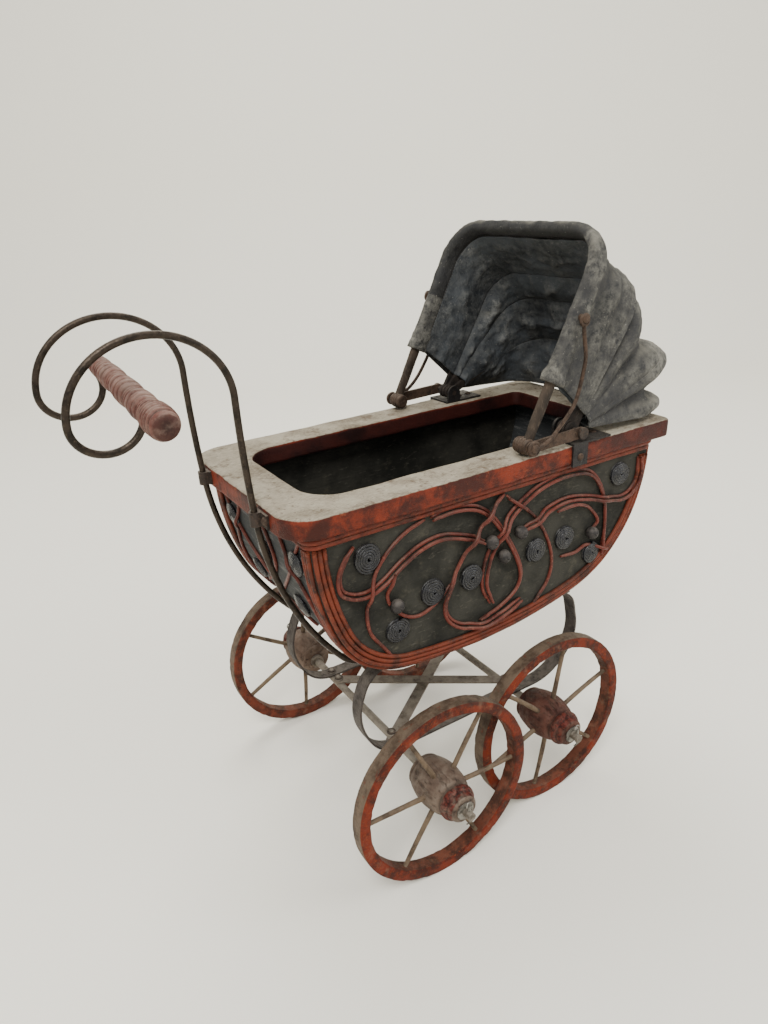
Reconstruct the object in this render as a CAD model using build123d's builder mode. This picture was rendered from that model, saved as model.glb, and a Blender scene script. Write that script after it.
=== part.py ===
"""Antique-style doll pram: wooden tub with reed scrollwork, folding hood, wire handle and four spoked wheels.

+X runs from the handle end to the hood end, +Y to the pram's left side, +Z up. The origin is on the ground,
under the middle of the pram's bounding box.
"""

import os
from math import atan2, cos, degrees, hypot, radians, sin, tan

from build123d import *

os.makedirs("parts", exist_ok=True)

# ---- Driving dimensions, mm ----
mid_x = 29.375               # x of the point halfway between the two axles
wheel_r = 70.0
wheel_w = 11.0
wheel_base = 112.0
axle_r = 3.0
axle_z = wheel_r
track_handle = 107.0         # y of the wheel's mid-plane, handle-end axle
track_hood = 93.5            # the hood-end axle is narrower, so that its wheels pass inside the others
running_gap = 0.05

rim_x0, rim_x1 = -139.25, 178.25     # the rim board's ends, from mid_x
rim_half = 83.0
rim_top = 284.0
rim_t = 13.5
rim_under = rim_top - rim_t
rim_border = 26.5
rim_end_border = 30.0

panel_y = 75.0               # outer face of the tub's side panels
panel_t = 4.0
skin_t = 2.5
tub_low = 153.0

rod_r = 2.1
rod_y = 44.0
grip_y0, grip_y1 = -84.0, 56.0
grip_x, grip_z = -196.5, 359.0
grip_rise = 0.068            # how much the grip climbs per mm toward the far side

strap_w = 11.0
strap_t = 1.6
strap_y = 53.5               # the spring straps run outboard of the handle rods' toes
brace_w = 9.0
brace_y = 41.0

pivot_x, pivot_z = 84.0, 292.0       # the hood's common pivot, from mid_x
pin_r = 2.0
bow_t = 3.0                          # across the pram
bow_w = 6.0                          # along the fold
cover_t = 1.2
cover_gap = 1.2


def side_plane(y):
    """Sketch plane facing -Y at the given y; its axes are x from mid_x, and z."""
    return Plane(origin=(mid_x, y, 0), x_dir=(1, 0, 0), z_dir=(0, -1, 0))


def on_side(line, y):
    """A line drawn in x and z, carried onto the side plane at y."""
    return line.moved(side_plane(y).location)


def level_plane(z):
    return Plane(origin=(mid_x, 0, z), x_dir=(1, 0, 0), z_dir=(0, 0, 1))


def cross_plane(x, z=0.0):
    """Plane facing +X at x from mid_x; its axes are y and z."""
    return Plane(origin=(mid_x + x, 0, z), x_dir=(0, 1, 0), z_dir=(1, 0, 0))


def bend_radii(route):
    """The largest even bend at each corner of a wire's or strap's route."""
    corners = [Vector(*p) for p in route]
    runs = [(b - a).length for a, b in zip(corners, corners[1:])]
    radii = []
    for k in range(1, len(corners) - 1):
        turn = (corners[k] - corners[k - 1]).get_angle(corners[k + 1] - corners[k])
        radii.append(0.45 * min(runs[k - 1], runs[k]) / tan(radians(turn / 2)))
    return radii


def save(builder, name):
    builder.part.label = name
    export_step(builder.part, f"parts/{name}.step")


# ---- Tub ----
def tub_outline(inset=0.0):
    """The tub's side view, open-topped to above the rim: a keel arc, two bilge arcs and two upright ends."""
    with BuildSketch() as outline:
        with BuildLine():
            keel = TangentArc((0, tub_low), (90, 164), tangent=(1, 0))
            bilge = TangentArc(keel @ 1, (150, 210), tangent=keel % 1)
            foot = TangentArc(bilge @ 1, (164, rim_under), tangent=bilge % 1)
            Line(foot @ 1, (164, rim_top + 20))
            Line((164, rim_top + 20), (-124, rim_top + 20))
            head = TangentArc((-60, 157), (-110, 195), tangent=(-60, 8))
            Line((-124, rim_top + 20), (-124, rim_under))
            TangentArc(head @ 1, (-124, rim_under), tangent=head % 1)
            TangentArc((0, tub_low), (-60, 157), tangent=(-1, 0))
        make_face()
        if inset:
            offset(amount=-inset, mode=Mode.REPLACE)
        with Locations((20, rim_under + 50)):
            Rectangle(400, 100, mode=Mode.SUBTRACT)
    return outline.sketch


def side_panel(y_outer, inward):
    with BuildPart() as panel:
        with BuildSketch(side_plane(y_outer)):
            add(tub_outline())
        extrude(amount=-panel_t * inward)
    return panel


side_panels = {"right": side_panel(-panel_y, 1), "left": side_panel(panel_y, -1)}
for side, panel in side_panels.items():
    save(panel, f"side_panel_{side}")

inner_y = panel_y - panel_t
with BuildPart() as tub_skin:
    with BuildSketch(side_plane(-inner_y)):
        add(tub_outline())
        add(tub_outline(skin_t), mode=Mode.SUBTRACT)
    extrude(amount=-2 * inner_y)
save(tub_skin, "tub_skin")

floor_z, floor_t = 166.0, 4.0
with BuildPart() as tub_floor:
    with BuildSketch(side_plane(-inner_y)):
        with Locations((16, floor_z + floor_t / 2)):
            Rectangle(400, floor_t)
        add(tub_outline(skin_t), mode=Mode.INTERSECT)
    extrude(amount=-2 * inner_y)
save(tub_floor, "tub_floor")

with BuildPart() as rim_board:
    with BuildSketch(level_plane(rim_under)):
        with Locations(((rim_x0 + rim_x1) / 2, 0)):
            board = Rectangle(rim_x1 - rim_x0, 2 * rim_half)
        handle_corners = board.vertices().group_by(Axis.X)[0]
        hood_corners = board.vertices().group_by(Axis.X)[-1]
        fillet(handle_corners, 22)
        chamfer(hood_corners, 5)
    extrude(amount=rim_t)
    with BuildSketch(level_plane(rim_under)):
        with Locations(((rim_x0 + rim_x1) / 2, 0)):
            hole = Rectangle(rim_x1 - rim_x0 - 2 * rim_end_border, 2 * (rim_half - rim_border))
        fillet(hole.vertices().group_by(Axis.X)[0], 24)
        fillet(hole.vertices().group_by(Axis.X)[-1], 6)
    extrude(amount=rim_t, mode=Mode.SUBTRACT)
    top_edges = rim_board.faces().sort_by(Axis.Z)[-1].outer_wire().edges()
    fillet(top_edges, 2)
save(rim_board, "rim_board")

moulding_h, moulding_out = 8.0, 4.5
tub_length = 289.4           # just over the tub, so that the strip slips on
with BuildPart() as rim_moulding:
    with BuildSketch(level_plane(rim_under - moulding_h)):
        with Locations((20, 0)):
            Rectangle(tub_length + 2 * moulding_out, 2 * (panel_y + moulding_out))
            Rectangle(tub_length, 2 * panel_y, mode=Mode.SUBTRACT)
    extrude(amount=moulding_h)
    groove_z = rim_under - moulding_h / 2
    with BuildSketch(level_plane(groove_z - 0.6)):
        with Locations((20, 0)):
            Rectangle(tub_length + 2 * moulding_out, 2 * (panel_y + moulding_out))
            Rectangle(tub_length + 2 * moulding_out - 1.6, 2 * (panel_y + moulding_out) - 1.6, mode=Mode.SUBTRACT)
    extrude(amount=1.2, mode=Mode.SUBTRACT)
save(rim_moulding, "rim_moulding")

# ---- Reed edging, scrolls, coils and beads on the side panels ----
reed_r = 1.6
reed_insets = (0.2, 3.6, 7.0)
reed_lift = 3.0
scroll_w, scroll_t = 2.2, 2.0
moulding_low = rim_under - moulding_h


def edge_reeds(y, outward):
    """Strips of reed laid edge to edge along the panel's curved border."""
    with BuildPart() as reeds:
        for inset in reed_insets:
            with BuildSketch(side_plane(y)):
                add(tub_outline(inset))
                add(tub_outline(inset + 2 * reed_r), mode=Mode.SUBTRACT)
                with Locations((20, moulding_low + 50)):
                    Rectangle(400, 100, mode=Mode.SUBTRACT)
            extrude(amount=reed_lift * outward)
    return reeds


scroll_routes = [
    [(-100, 254), (-108, 236), (-108, 216), (-92, 208), (-74, 218), (-58, 236), (-38, 247), (-8, 248), (5, 236)],
    [(-38, 260), (-62, 247), (-80, 226), (-88, 204), (-84, 190), (-70, 180)],
    [(45, 260), (28, 240), (8, 210), (-14, 184), (-6, 166), (18, 166), (48, 184), (58, 200)],
    [(58, 260), (84, 244), (98, 222), (98, 200), (76, 180)],
    [(-28, 258), (-4, 260), (24, 250), (40, 226), (40, 198), (18, 178)],
    [(134, 259), (128, 247), (104, 246), (70, 250), (44, 240), (36, 231)],
]


disc_places = [(-87, 246), (-39, 206), (-64, 190), (-7, 206), (51, 210), (80, 214), (130, 246), (101, 190)]
bead_places = [(-68, 207), (12, 229), (24, 214), (34, 228), (112, 208)]
disc_r, disc_t = 9.0, 3.2
bead_r = 4.2


def scroll_reeds(y, outward):
    """Reeds bent into scrolls and nailed flat on the panel, cut short at the discs, the beads and the edging."""
    with BuildPart() as scrolls:
        with BuildSketch(side_plane(y)):
            for route in scroll_routes:
                with BuildLine():
                    FilletPolyline(*route, radius=bend_radii(route))
                trace(line_width=scroll_w)
            with Locations(*disc_places):
                Circle(disc_r + 0.3, mode=Mode.SUBTRACT)
            with Locations(*bead_places):
                Circle(bead_r + 0.3, mode=Mode.SUBTRACT)
            add(tub_outline(reed_insets[-1] + 2 * reed_r + 0.3), mode=Mode.INTERSECT)
        extrude(amount=scroll_t * outward)
    return scrolls


def studs(y, outward, places, r, height):
    with BuildPart() as group:
        with BuildSketch(side_plane(y)):
            with Locations(*places):
                Circle(r)
        extrude(amount=height * outward)
    return group


for side, outward in (("right", 1), ("left", -1)):
    face_y = -outward * panel_y
    save(edge_reeds(face_y, outward), f"edge_reeds_{side}")
    save(scroll_reeds(face_y, outward), f"scroll_reeds_{side}")
    save(studs(face_y, outward, disc_places, disc_r, disc_t), f"coil_discs_{side}")
    save(studs(face_y, outward, bead_places, bead_r, 2 * bead_r), f"beads_{side}")

# ---- Handle ----
loop_half, loop_rise = 44.2, 40.0    # the big loop is wider than it is tall
curl_half, curl_drop = 18.8, 17.0
loop_x, loop_z = -190.6, 351.0
stem_x = loop_x + loop_half
clip_point = (-143.2, 277.0)


def handle_rod(y):
    """One round rod: screwed under the tub, up the end, over in a loop and curled back into the grip."""
    with BuildPart() as rod:
        with BuildLine() as flat:
            curl_x = loop_x - loop_half + curl_half
            EllipticalCenterArc((curl_x, loop_z), curl_half, curl_drop, 180, arc_size=200)
            EllipticalCenterArc((loop_x, loop_z), loop_half, loop_rise, 0, arc_size=180)
            stem = TangentArc((stem_x, loop_z), clip_point, tangent=(0, -1))
            lower = TangentArc(stem @ 1, (-93, 158.4), tangent=stem % 1)
            toe = TangentArc(lower @ 1, (-78, 150.4), tangent=lower % 1)
            Line(toe @ 1, toe @ 1 + (toe % 1) * 14)
        path = on_side(flat.line, y)
        with BuildSketch(Plane(origin=path @ 0, z_dir=path % 0)):
            Circle(rod_r)
        sweep(path=path)
    return rod


for side, y in (("right", -rod_y), ("left", rod_y)):
    save(handle_rod(y), f"handle_rod_{side}")

clip_x, clip_z = clip_point
with BuildPart() as handle_clips:
    for y in (-rod_y, rod_y):
        reach = 1 if y > 0 else -1
        with BuildSketch(level_plane(clip_z - 4.5)):
            with Locations((rim_x0 - 0.8, y + reach * 3)):
                Rectangle(1.6, 16)
            with Locations((clip_x, y)):
                Circle(rod_r + 1.6)
            with Locations((rim_x0 - 1.5, y)):
                Rectangle(3.0, 2 * (rod_r + 1.6))
        extrude(amount=9)
        add(handle_rod(y).part, mode=Mode.SUBTRACT)
save(handle_clips, "handle_clips")

with BuildPart() as clip_screws:
    for y in (-rod_y - 8, rod_y + 8):
        with BuildSketch(cross_plane(rim_x0 - 1.6)):
            with Locations((y, clip_z)):
                Circle(2.6)
        extrude(amount=-1.8)
        with BuildSketch(cross_plane(rim_x0 - 1.6)):
            with Locations((y, clip_z)):
                Circle(1.2)
        extrude(amount=10)
save(clip_screws, "clip_screws")

with BuildPart() as grip:
    grip_centre = (mid_x + grip_x, 0, grip_z)
    with BuildSketch(Plane(origin=grip_centre, x_dir=(0, 1, grip_rise), z_dir=(1, 0, 0))):
        with BuildLine():
            turned = Spline(
                (grip_y0, 5.2), (-81, 8.0), (-72, 9.0), (-62, 8.4), (-57.5, 7.0), (-45, 8.1), (-31, 7.0),
                (-16, 7.9), (1, 6.8), (16, 7.3), (31, 6.5), (44, 6.4), (53, 5.9), (grip_y1, 4.4),
            )
            Line(turned @ 1, (grip_y1, 0))
            Line((grip_y1, 0), (grip_y0, 0))
            Line((grip_y0, 0), turned @ 0)
        make_face()
    revolve(axis=Axis(grip_centre, (0, 1, grip_rise)))
save(grip, "grip")

# ---- Undercarriage ----
batten_low = 150.0
batten_half = 62.0
battens = {"handle": (-68, -40), "hood": (74, 104)}
for end, (x0, x1) in battens.items():
    with BuildPart() as batten:
        with BuildSketch(side_plane(-batten_half)):
            with Locations(((x0 + x1) / 2, (batten_low + tub_low + 40) / 2)):
                Rectangle(x1 - x0, tub_low + 40 - batten_low)
            add(tub_outline(), mode=Mode.SUBTRACT)
            with Locations(((x0 + x1) / 2, tub_low + 60)):
                Rectangle(x1 - x0, 60, mode=Mode.SUBTRACT)
        extrude(amount=-2 * batten_half)
        if end == "handle":
            for y in (-rod_y, rod_y):
                with BuildSketch(cross_plane(x0)):
                    with Locations((y, batten_low)):
                        Rectangle(2 * rod_r + 1, 2 * rod_r + 2)
                extrude(amount=x1 - x0, mode=Mode.SUBTRACT)
    save(batten, f"batten_{end}")

strap_top = axle_z + axle_r + strap_t
strap_mid = strap_top - strap_t / 2
strap_seat = batten_low - strap_t / 2
strap_route = [
    (-44, strap_seat), (-80, strap_seat), (-94, 113), (-76, strap_mid),
    (90, strap_mid), (119, 103), (110, strap_seat), (76, strap_seat),
]


def spring_strap(y):
    """One flat iron strap: a C-spring at each end, joined by the run over the axles."""
    with BuildPart() as strap:
        with BuildLine() as flat:
            FilletPolyline(*strap_route, radius=bend_radii(strap_route))
        path = on_side(flat.line, y)
        with BuildSketch(Plane(origin=path @ 0, x_dir=(0, 1, 0), z_dir=path % 0)):
            Rectangle(strap_w, strap_t)
        sweep(path=path)
    return strap


for side, y in (("right", -strap_y), ("left", strap_y)):
    save(spring_strap(y), f"spring_strap_{side}")

axles = {"handle": (-wheel_base / 2, track_handle), "hood": (wheel_base / 2, track_hood)}
hub_half = 24.0
collar_w, washer_w, end_play = 4.0, 1.0, 0.3
axle_past = 8.0


def round_bar(x, z, y0, y1, r, bore=0.0):
    """A bar or ring along Y."""
    with BuildPart() as bar:
        with BuildSketch(side_plane(y1)):
            with Locations((x, z)):
                Circle(r)
                if bore:
                    Circle(bore, mode=Mode.SUBTRACT)
        extrude(amount=y1 - y0)
    return bar


for end, (x, track) in axles.items():
    tip = track + hub_half + axle_past
    save(round_bar(x, axle_z, -tip, tip, axle_r), f"axle_{end}")

with BuildPart() as axle_collars:
    for x, track in axles.values():
        inner = track - hub_half - end_play
        for y0 in (inner - collar_w, -inner):
            add(round_bar(x, axle_z, y0, y0 + collar_w, 5.5, axle_r).part)
save(axle_collars, "axle_collars")

with BuildPart() as axle_washers:
    for x, track in axles.values():
        outer = track + hub_half + end_play
        for y0 in (outer, -outer - washer_w):
            add(round_bar(x, axle_z, y0, y0 + washer_w, 6.5, axle_r).part)
save(axle_washers, "axle_washers")

wire_r = 0.8
with BuildPart() as cotter_pins:
    for x, track in axles.values():
        for y in (track + hub_half + 5, -track - hub_half - 5):
            with BuildSketch(Plane(origin=(mid_x + x, y, axle_z - 6.5))):
                Circle(wire_r)
            extrude(amount=11)
            with BuildSketch(Plane(origin=(mid_x + x, y, axle_z + 6.8), x_dir=(1, 0, 0), z_dir=(0, -1, 0))):
                with Locations((2.6, 0)):
                    Circle(wire_r)
            revolve(axis=Axis((mid_x + x, y, axle_z + 6.8), (0, 0, 1)))
save(cotter_pins, "cotter_pins")



def brace(z0, slope):
    """A flat diagonal strap from one axle to the other."""
    angle = degrees(atan2(slope * 2 * brace_y, wheel_base))
    with BuildPart() as bar:
        with BuildSketch(level_plane(z0)):
            SlotCenterToCenter(hypot(wheel_base, 2 * brace_y), brace_w, rotation=angle)
        extrude(amount=strap_t)
    return bar


brace_low_z = axle_z - axle_r - strap_t
save(brace(brace_low_z, 1), "cross_brace_lower")
save(brace(axle_z + axle_r, -1), "cross_brace_upper")


def rivets(places, z0, z1, head_z, head_h=2.2, r=1.6, head_r=3.4):
    """Round-headed rivets along Z: a shank from z0 to z1 and a head on top."""
    with BuildPart() as group:
        for x, y in places:
            with BuildSketch(level_plane(z0)):
                with Locations((x, y)):
                    Circle(r)
            extrude(amount=z1 - z0)
            with BuildSketch(level_plane(head_z)):
                with Locations((x, y)):
                    Circle(head_r)
            extrude(amount=head_h)
    return group


axle_xs = (-wheel_base / 2, wheel_base / 2)
strap_places = [(x, y) for x in axle_xs for y in (-strap_y, strap_y)]
save(rivets(strap_places, axle_z - axle_r, strap_top, strap_top), "spring_rivets")
lower_places = [(-wheel_base / 2, -brace_y), (wheel_base / 2, brace_y)]
upper_places = [(-wheel_base / 2, brace_y), (wheel_base / 2, -brace_y)]
with BuildPart() as brace_rivets:
    add(rivets(lower_places, brace_low_z, axle_z + axle_r, axle_z + axle_r).part)
    add(rivets(upper_places, axle_z - axle_r, strap_top, strap_top).part)
save(brace_rivets, "brace_rivets")
seat_places = [(x, y) for x in (-54, 89) for y in (-strap_y, strap_y)]
with BuildPart() as batten_screws:
    for x, y in seat_places:
        with BuildSketch(level_plane(batten_low - strap_t)):
            with Locations((x, y)):
                Circle(3.2)
        extrude(amount=-1.8)
        with BuildSketch(level_plane(batten_low - strap_t)):
            with Locations((x, y)):
                Circle(1.4)
        extrude(amount=6)
save(batten_screws, "batten_screws")

# ---- Wheels ----
rim_inner_r = 61.6
spoke_r, spoke_count, spoke_root = 1.8, 6, 13.0
wheels = {
    "handle_right": (-wheel_base / 2, -track_handle, 57),
    "handle_left": (-wheel_base / 2, track_handle, 27),
    "hood_right": (wheel_base / 2, -track_hood, 18),
    "hood_left": (wheel_base / 2, track_hood, 33),
}


def wheel_rim(x, y):
    with BuildPart() as rim:
        with BuildSketch(side_plane(y + wheel_w / 2)):
            with Locations((x, axle_z)):
                Circle(wheel_r)
                Circle(rim_inner_r, mode=Mode.SUBTRACT)
        extrude(amount=wheel_w)
        outer_edges = rim.edges().filter_by(GeomType.CIRCLE).filter_by(lambda e: e.radius > wheel_r - 1)
        fillet(outer_edges, 1.6)
        inner_edges = rim.edges().filter_by(GeomType.CIRCLE).filter_by(lambda e: e.radius < rim_inner_r + 1)
        fillet(inner_edges, 1.2)
    return rim


def wheel_hub(x, y, outward):
    """A turned barrel hub; its nose, with the end ring, points outward."""
    with BuildPart() as hub:
        with BuildSketch(Plane(origin=(mid_x + x, y, axle_z), x_dir=(0, outward, 0), z_dir=(-outward, 0, 0))):
            with BuildLine():
                bore_r = axle_r + running_gap
                turned = Polyline(
                    (-hub_half, bore_r), (-hub_half, 12.0), (-22.4, 13.0), (-21.0, 13.6),
                )
                barrel = ThreePointArc((-21.0, 13.6), (-6.0, 17.0), (9.0, 14.4))
                nose = Polyline(
                    (9.0, 14.4), (11.0, 12.2), (12.6, 12.2), (13.8, 13.2), (18.0, 12.8), (20.0, 10.8),
                    (hub_half, 9.6), (hub_half, bore_r),
                )
                Line(nose @ 1, turned @ 0)
            make_face()
        revolve(axis=Axis((mid_x + x, y, axle_z), (0, 1, 0)))
    return hub


def wheel_spokes(x, y, phase):
    with BuildPart() as spokes:
        for k in range(spoke_count):
            angle = radians(phase + 360 / spoke_count * k)
            along = (cos(angle), 0, sin(angle))
            start = (mid_x + x + spoke_root * cos(angle), y, axle_z + spoke_root * sin(angle))
            with BuildSketch(Plane(origin=start, x_dir=(0, 1, 0), z_dir=along)):
                Circle(spoke_r)
            extrude(amount=rim_inner_r + 3.0 - spoke_root)
    return spokes


for name, (x, y, phase) in wheels.items():
    save(wheel_rim(x, y), f"wheel_rim_{name}")
    save(wheel_hub(x, y, 1 if y > 0 else -1), f"wheel_hub_{name}")
    save(wheel_spokes(x, y, phase), f"wheel_spokes_{name}")

# ---- Hood ----
bow_angles = {"second": 60.0, "third": 47.0, "rear": 23.0}
bow_lengths = {"second": 112.0, "third": 103.0, "rear": 98.0}
bow_outs = {"second": 75.5, "third": 71.5, "rear": 67.5}
bow_corner = 30.0
front_foot = (38.0, 291.0)
front_top = (105.0, 423.5)
front_angle = degrees(atan2(front_top[1] - front_foot[1], front_top[0] - front_foot[0]))
front_length = hypot(front_top[1] - front_foot[1], front_top[0] - front_foot[0])
front_out, front_t, front_w = 80.5, 5.0, 9.0
roller_r = 6.2


def fold_plane(x, z, angle, behind=0.0):
    """Plane of one bow: its axes are y and the direction out from the pivot; it faces back and down."""
    normal = Vector(sin(radians(angle)), 0, -cos(radians(angle)))
    return Plane(origin=Vector(mid_x + x, 0, z) + normal * behind, x_dir=(0, 1, 0), z_dir=normal)


def hoop_line(half, length, start, corner):
    """Closed outline of a hoop: two legs from start and a top bar at length, with round corners."""
    Polyline((-half, length - corner), (-half, start), (half, start), (half, length - corner))
    CenterArc((half - corner, length - corner), corner, 0, 90)
    Line((half - corner, length), (-half + corner, length))
    CenterArc((-half + corner, length - corner), corner, 90, 90)


def hoop(plane, out, length, thick, wide, start=0.0):
    """A bent bow of flat section."""
    with BuildPart() as bow:
        with BuildSketch(plane.offset(-wide / 2)):
            with BuildLine():
                hoop_line(out, length, start, bow_corner)
            make_face()
            with BuildLine():
                hoop_line(out - thick, length - thick, start, bow_corner - thick)
            make_face(mode=Mode.SUBTRACT)
        extrude(amount=wide)
    return bow


eye_r = 5.4
for name, angle in bow_angles.items():
    plane = fold_plane(pivot_x, pivot_z, angle)
    out = bow_outs[name]
    with BuildPart() as bow:
        add(hoop(plane, out, bow_lengths[name], bow_t, bow_w).part)
        for y1 in (out, -out + bow_t):
            add(round_bar(pivot_x, pivot_z, y1 - bow_t, y1, eye_r).part)
            add(round_bar(pivot_x, pivot_z, y1 - bow_t, y1, pin_r + running_gap).part, mode=Mode.SUBTRACT)
    save(bow, f"hood_bow_{name}")

front_plane = fold_plane(*front_foot, front_angle)
with BuildPart() as hood_bow_front:
    add(hoop(front_plane, front_out, front_length, front_t, front_w, start=roller_r - 0.5).part)
    for y1 in (front_out + 0.8, -front_out + front_t + 0.8):
        add(round_bar(*front_foot, y1 - front_t - 1.6, y1, roller_r).part, mode=Mode.SUBTRACT)
save(hood_bow_front, "hood_bow_front")

roller_y0, roller_y1 = 71.0, 81.3
arm_y0, arm_y1 = 81.7, 83.5
with BuildPart() as hood_rollers:
    for y1 in (roller_y1, -roller_y0):
        add(round_bar(*front_foot, y1 - roller_y1 + roller_y0, y1, roller_r).part)
save(hood_rollers, "hood_rollers")

with BuildPart() as hood_arms:
    for y1 in (arm_y1, -arm_y0):
        with BuildSketch(side_plane(y1)):
            with Locations(((front_foot[0] + pivot_x) / 2, (front_foot[1] + pivot_z) / 2)):
                tilt = degrees(atan2(pivot_z - front_foot[1], pivot_x - front_foot[0]))
                SlotCenterToCenter(hypot(pivot_x - front_foot[0], pivot_z - front_foot[1]), 8, rotation=tilt)
            with Locations((pivot_x, pivot_z)):
                Circle(pin_r + running_gap, mode=Mode.SUBTRACT)
        extrude(amount=arm_y1 - arm_y0)
save(hood_arms, "hood_arms")

stay_r, stay_y = 1.3, 86.0
stay_route = [(front_foot[0] + 2, front_foot[1]), (56, 297), (78, 320), (86, 346), (79, 371)]
with BuildPart() as hood_stays:
    for y in (-stay_y, stay_y):
        with BuildLine() as flat:
            FilletPolyline(*stay_route, radius=bend_radii(stay_route))
        path = on_side(flat.line, y)
        with BuildSketch(Plane(origin=path @ 0, z_dir=path % 0)):
            Circle(stay_r)
        sweep(path=path)
save(hood_stays, "hood_stays")

eye_bolt = (78.5, 371.0)
with BuildPart() as stay_bolts:
    for sign in (-1, 1):
        ends = sorted((sign * (arm_y1 + 0.1), sign * (stay_y + stay_r + 0.8)))
        add(round_bar(*front_foot, *ends, 3.4).part)
        ends = sorted((sign * (front_out + 0.1), sign * (stay_y + stay_r + 0.8)))
        add(round_bar(*eye_bolt, *ends, 2.4).part)
save(stay_bolts, "stay_bolts")

ear_y0, ear_y1 = 60.5, 62.5
plate_t = 1.5
strap_x0, strap_x1 = 76.0, 90.0
with BuildPart() as hood_brackets:
    for sign in (-1, 1):
        low, high = sorted((sign * ear_y0, sign * (rim_half + plate_t)))
        with BuildSketch(level_plane(rim_top)):
            with Locations((94, (low + high) / 2)):
                Rectangle(36, high - low)
        extrude(amount=plate_t)
        low, high = sorted((sign * rim_half, sign * (rim_half + plate_t)))
        with BuildSketch(side_plane(high)):
            with Locations(((strap_x0 + strap_x1) / 2, rim_top - 7)):
                Rectangle(strap_x1 - strap_x0, 17)
        extrude(amount=high - low)
        low, high = sorted((sign * ear_y0, sign * ear_y1))
        with BuildSketch(side_plane(high)):
            with Locations((pivot_x, pivot_z)):
                Circle(6)
            with Locations((pivot_x, (rim_top + pivot_z) / 2)):
                Rectangle(12, pivot_z - rim_top)
            with Locations((pivot_x, pivot_z)):
                Circle(pin_r, mode=Mode.SUBTRACT)
        extrude(amount=high - low)
save(hood_brackets, "hood_brackets")

pin_head_y = arm_y1 + 0.3
with BuildPart() as hood_pivot_pins:
    for sign in (-1, 1):
        ends = sorted((sign * ear_y0, sign * (pin_head_y + 1)))
        add(round_bar(pivot_x, pivot_z, *ends, pin_r).part)
        ends = sorted((sign * pin_head_y, sign * (pin_head_y + 2)))
        add(round_bar(pivot_x, pivot_z, *ends, 4.2).part)
save(hood_pivot_pins, "hood_pivot_pins")

with BuildPart() as bracket_screws:
    for sign in (-1, 1):
        low, high = sorted((sign * (rim_half + plate_t), sign * (rim_half + plate_t + 1.4)))
        add(round_bar(83, rim_top - 9, low, high, 2.6).part)
        for x in (97, 107):
            with BuildSketch(level_plane(rim_top + plate_t)):
                with Locations((x, sign * 72)):
                    Circle(2.6)
            extrude(amount=1.2)
save(bracket_screws, "bracket_screws")


def cover_section(plane, half, length, start):
    """The hood cloth's cut at one bow: a thin hoop just outside it."""
    with BuildSketch(plane) as section:
        with BuildLine():
            hoop_line(half + cover_gap + cover_t, length + cover_gap + cover_t, start, bow_corner + 2)
        make_face()
        with BuildLine():
            hoop_line(half + cover_gap, length + cover_gap, start, bow_corner + 2 - cover_t)
        make_face(mode=Mode.SUBTRACT)
        with Locations((0, start)):
            Rectangle(2 * half, 4, mode=Mode.SUBTRACT)
    return section.sketch


cover_start = 15.0
cover_half = bow_outs["second"]


def cover_cut(angle, length):
    """Section planes and sizes of the cloth at a bow on the common pivot."""
    return (lambda turn: fold_plane(pivot_x, pivot_z, angle + turn)), cover_half, length, cover_start


sections = [
    ((lambda turn: front_plane.offset(4.0)), front_out, front_length, 47.0),
    cover_cut(bow_angles["second"], bow_lengths["second"]),
    cover_cut(bow_angles["third"], bow_lengths["third"]),
    cover_cut(bow_angles["rear"], bow_lengths["rear"]),
    cover_cut(-1.0, 91.0),
]
cover_names = ["front", "second", "third", "rear"]
for name, ahead, behind in zip(cover_names, sections, sections[1:]):
    with BuildPart() as cover:
        for (plane_at, half, length, start), turn in ((ahead, -0.15), (behind, 0.15)):
            add(cover_section(plane_at(turn), half, length, start))
        loft(ruled=True)
    save(cover, f"hood_cover_{name}")
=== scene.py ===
"""Antique-style doll pram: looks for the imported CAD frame. Lengths in the script are mm from mid_x unless said."""
import math
import random

import bpy
import numpy as np
from mathutils import Matrix, Vector, noise


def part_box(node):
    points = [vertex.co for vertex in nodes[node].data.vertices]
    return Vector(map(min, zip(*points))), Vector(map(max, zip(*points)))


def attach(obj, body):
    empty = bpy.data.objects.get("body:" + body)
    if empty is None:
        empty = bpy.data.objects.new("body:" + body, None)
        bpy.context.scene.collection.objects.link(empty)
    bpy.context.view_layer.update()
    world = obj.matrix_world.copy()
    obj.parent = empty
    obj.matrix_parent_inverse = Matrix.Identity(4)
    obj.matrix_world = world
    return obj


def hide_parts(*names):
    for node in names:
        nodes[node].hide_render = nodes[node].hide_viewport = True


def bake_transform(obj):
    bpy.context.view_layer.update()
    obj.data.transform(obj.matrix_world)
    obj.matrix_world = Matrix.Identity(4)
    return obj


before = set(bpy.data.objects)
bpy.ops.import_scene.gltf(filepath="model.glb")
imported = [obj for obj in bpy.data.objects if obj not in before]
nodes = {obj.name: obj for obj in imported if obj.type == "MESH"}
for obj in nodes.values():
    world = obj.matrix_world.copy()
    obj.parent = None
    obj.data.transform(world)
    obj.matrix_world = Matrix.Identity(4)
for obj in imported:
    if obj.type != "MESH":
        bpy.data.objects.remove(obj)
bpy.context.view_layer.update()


def centre(node):
    low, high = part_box(node)
    return (low + high) / 2


MID = (centre("axle_handle").x + centre("axle_hood").x) / 2 * 1000
TAU = 2 * math.pi
rng = random.Random(7)


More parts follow.
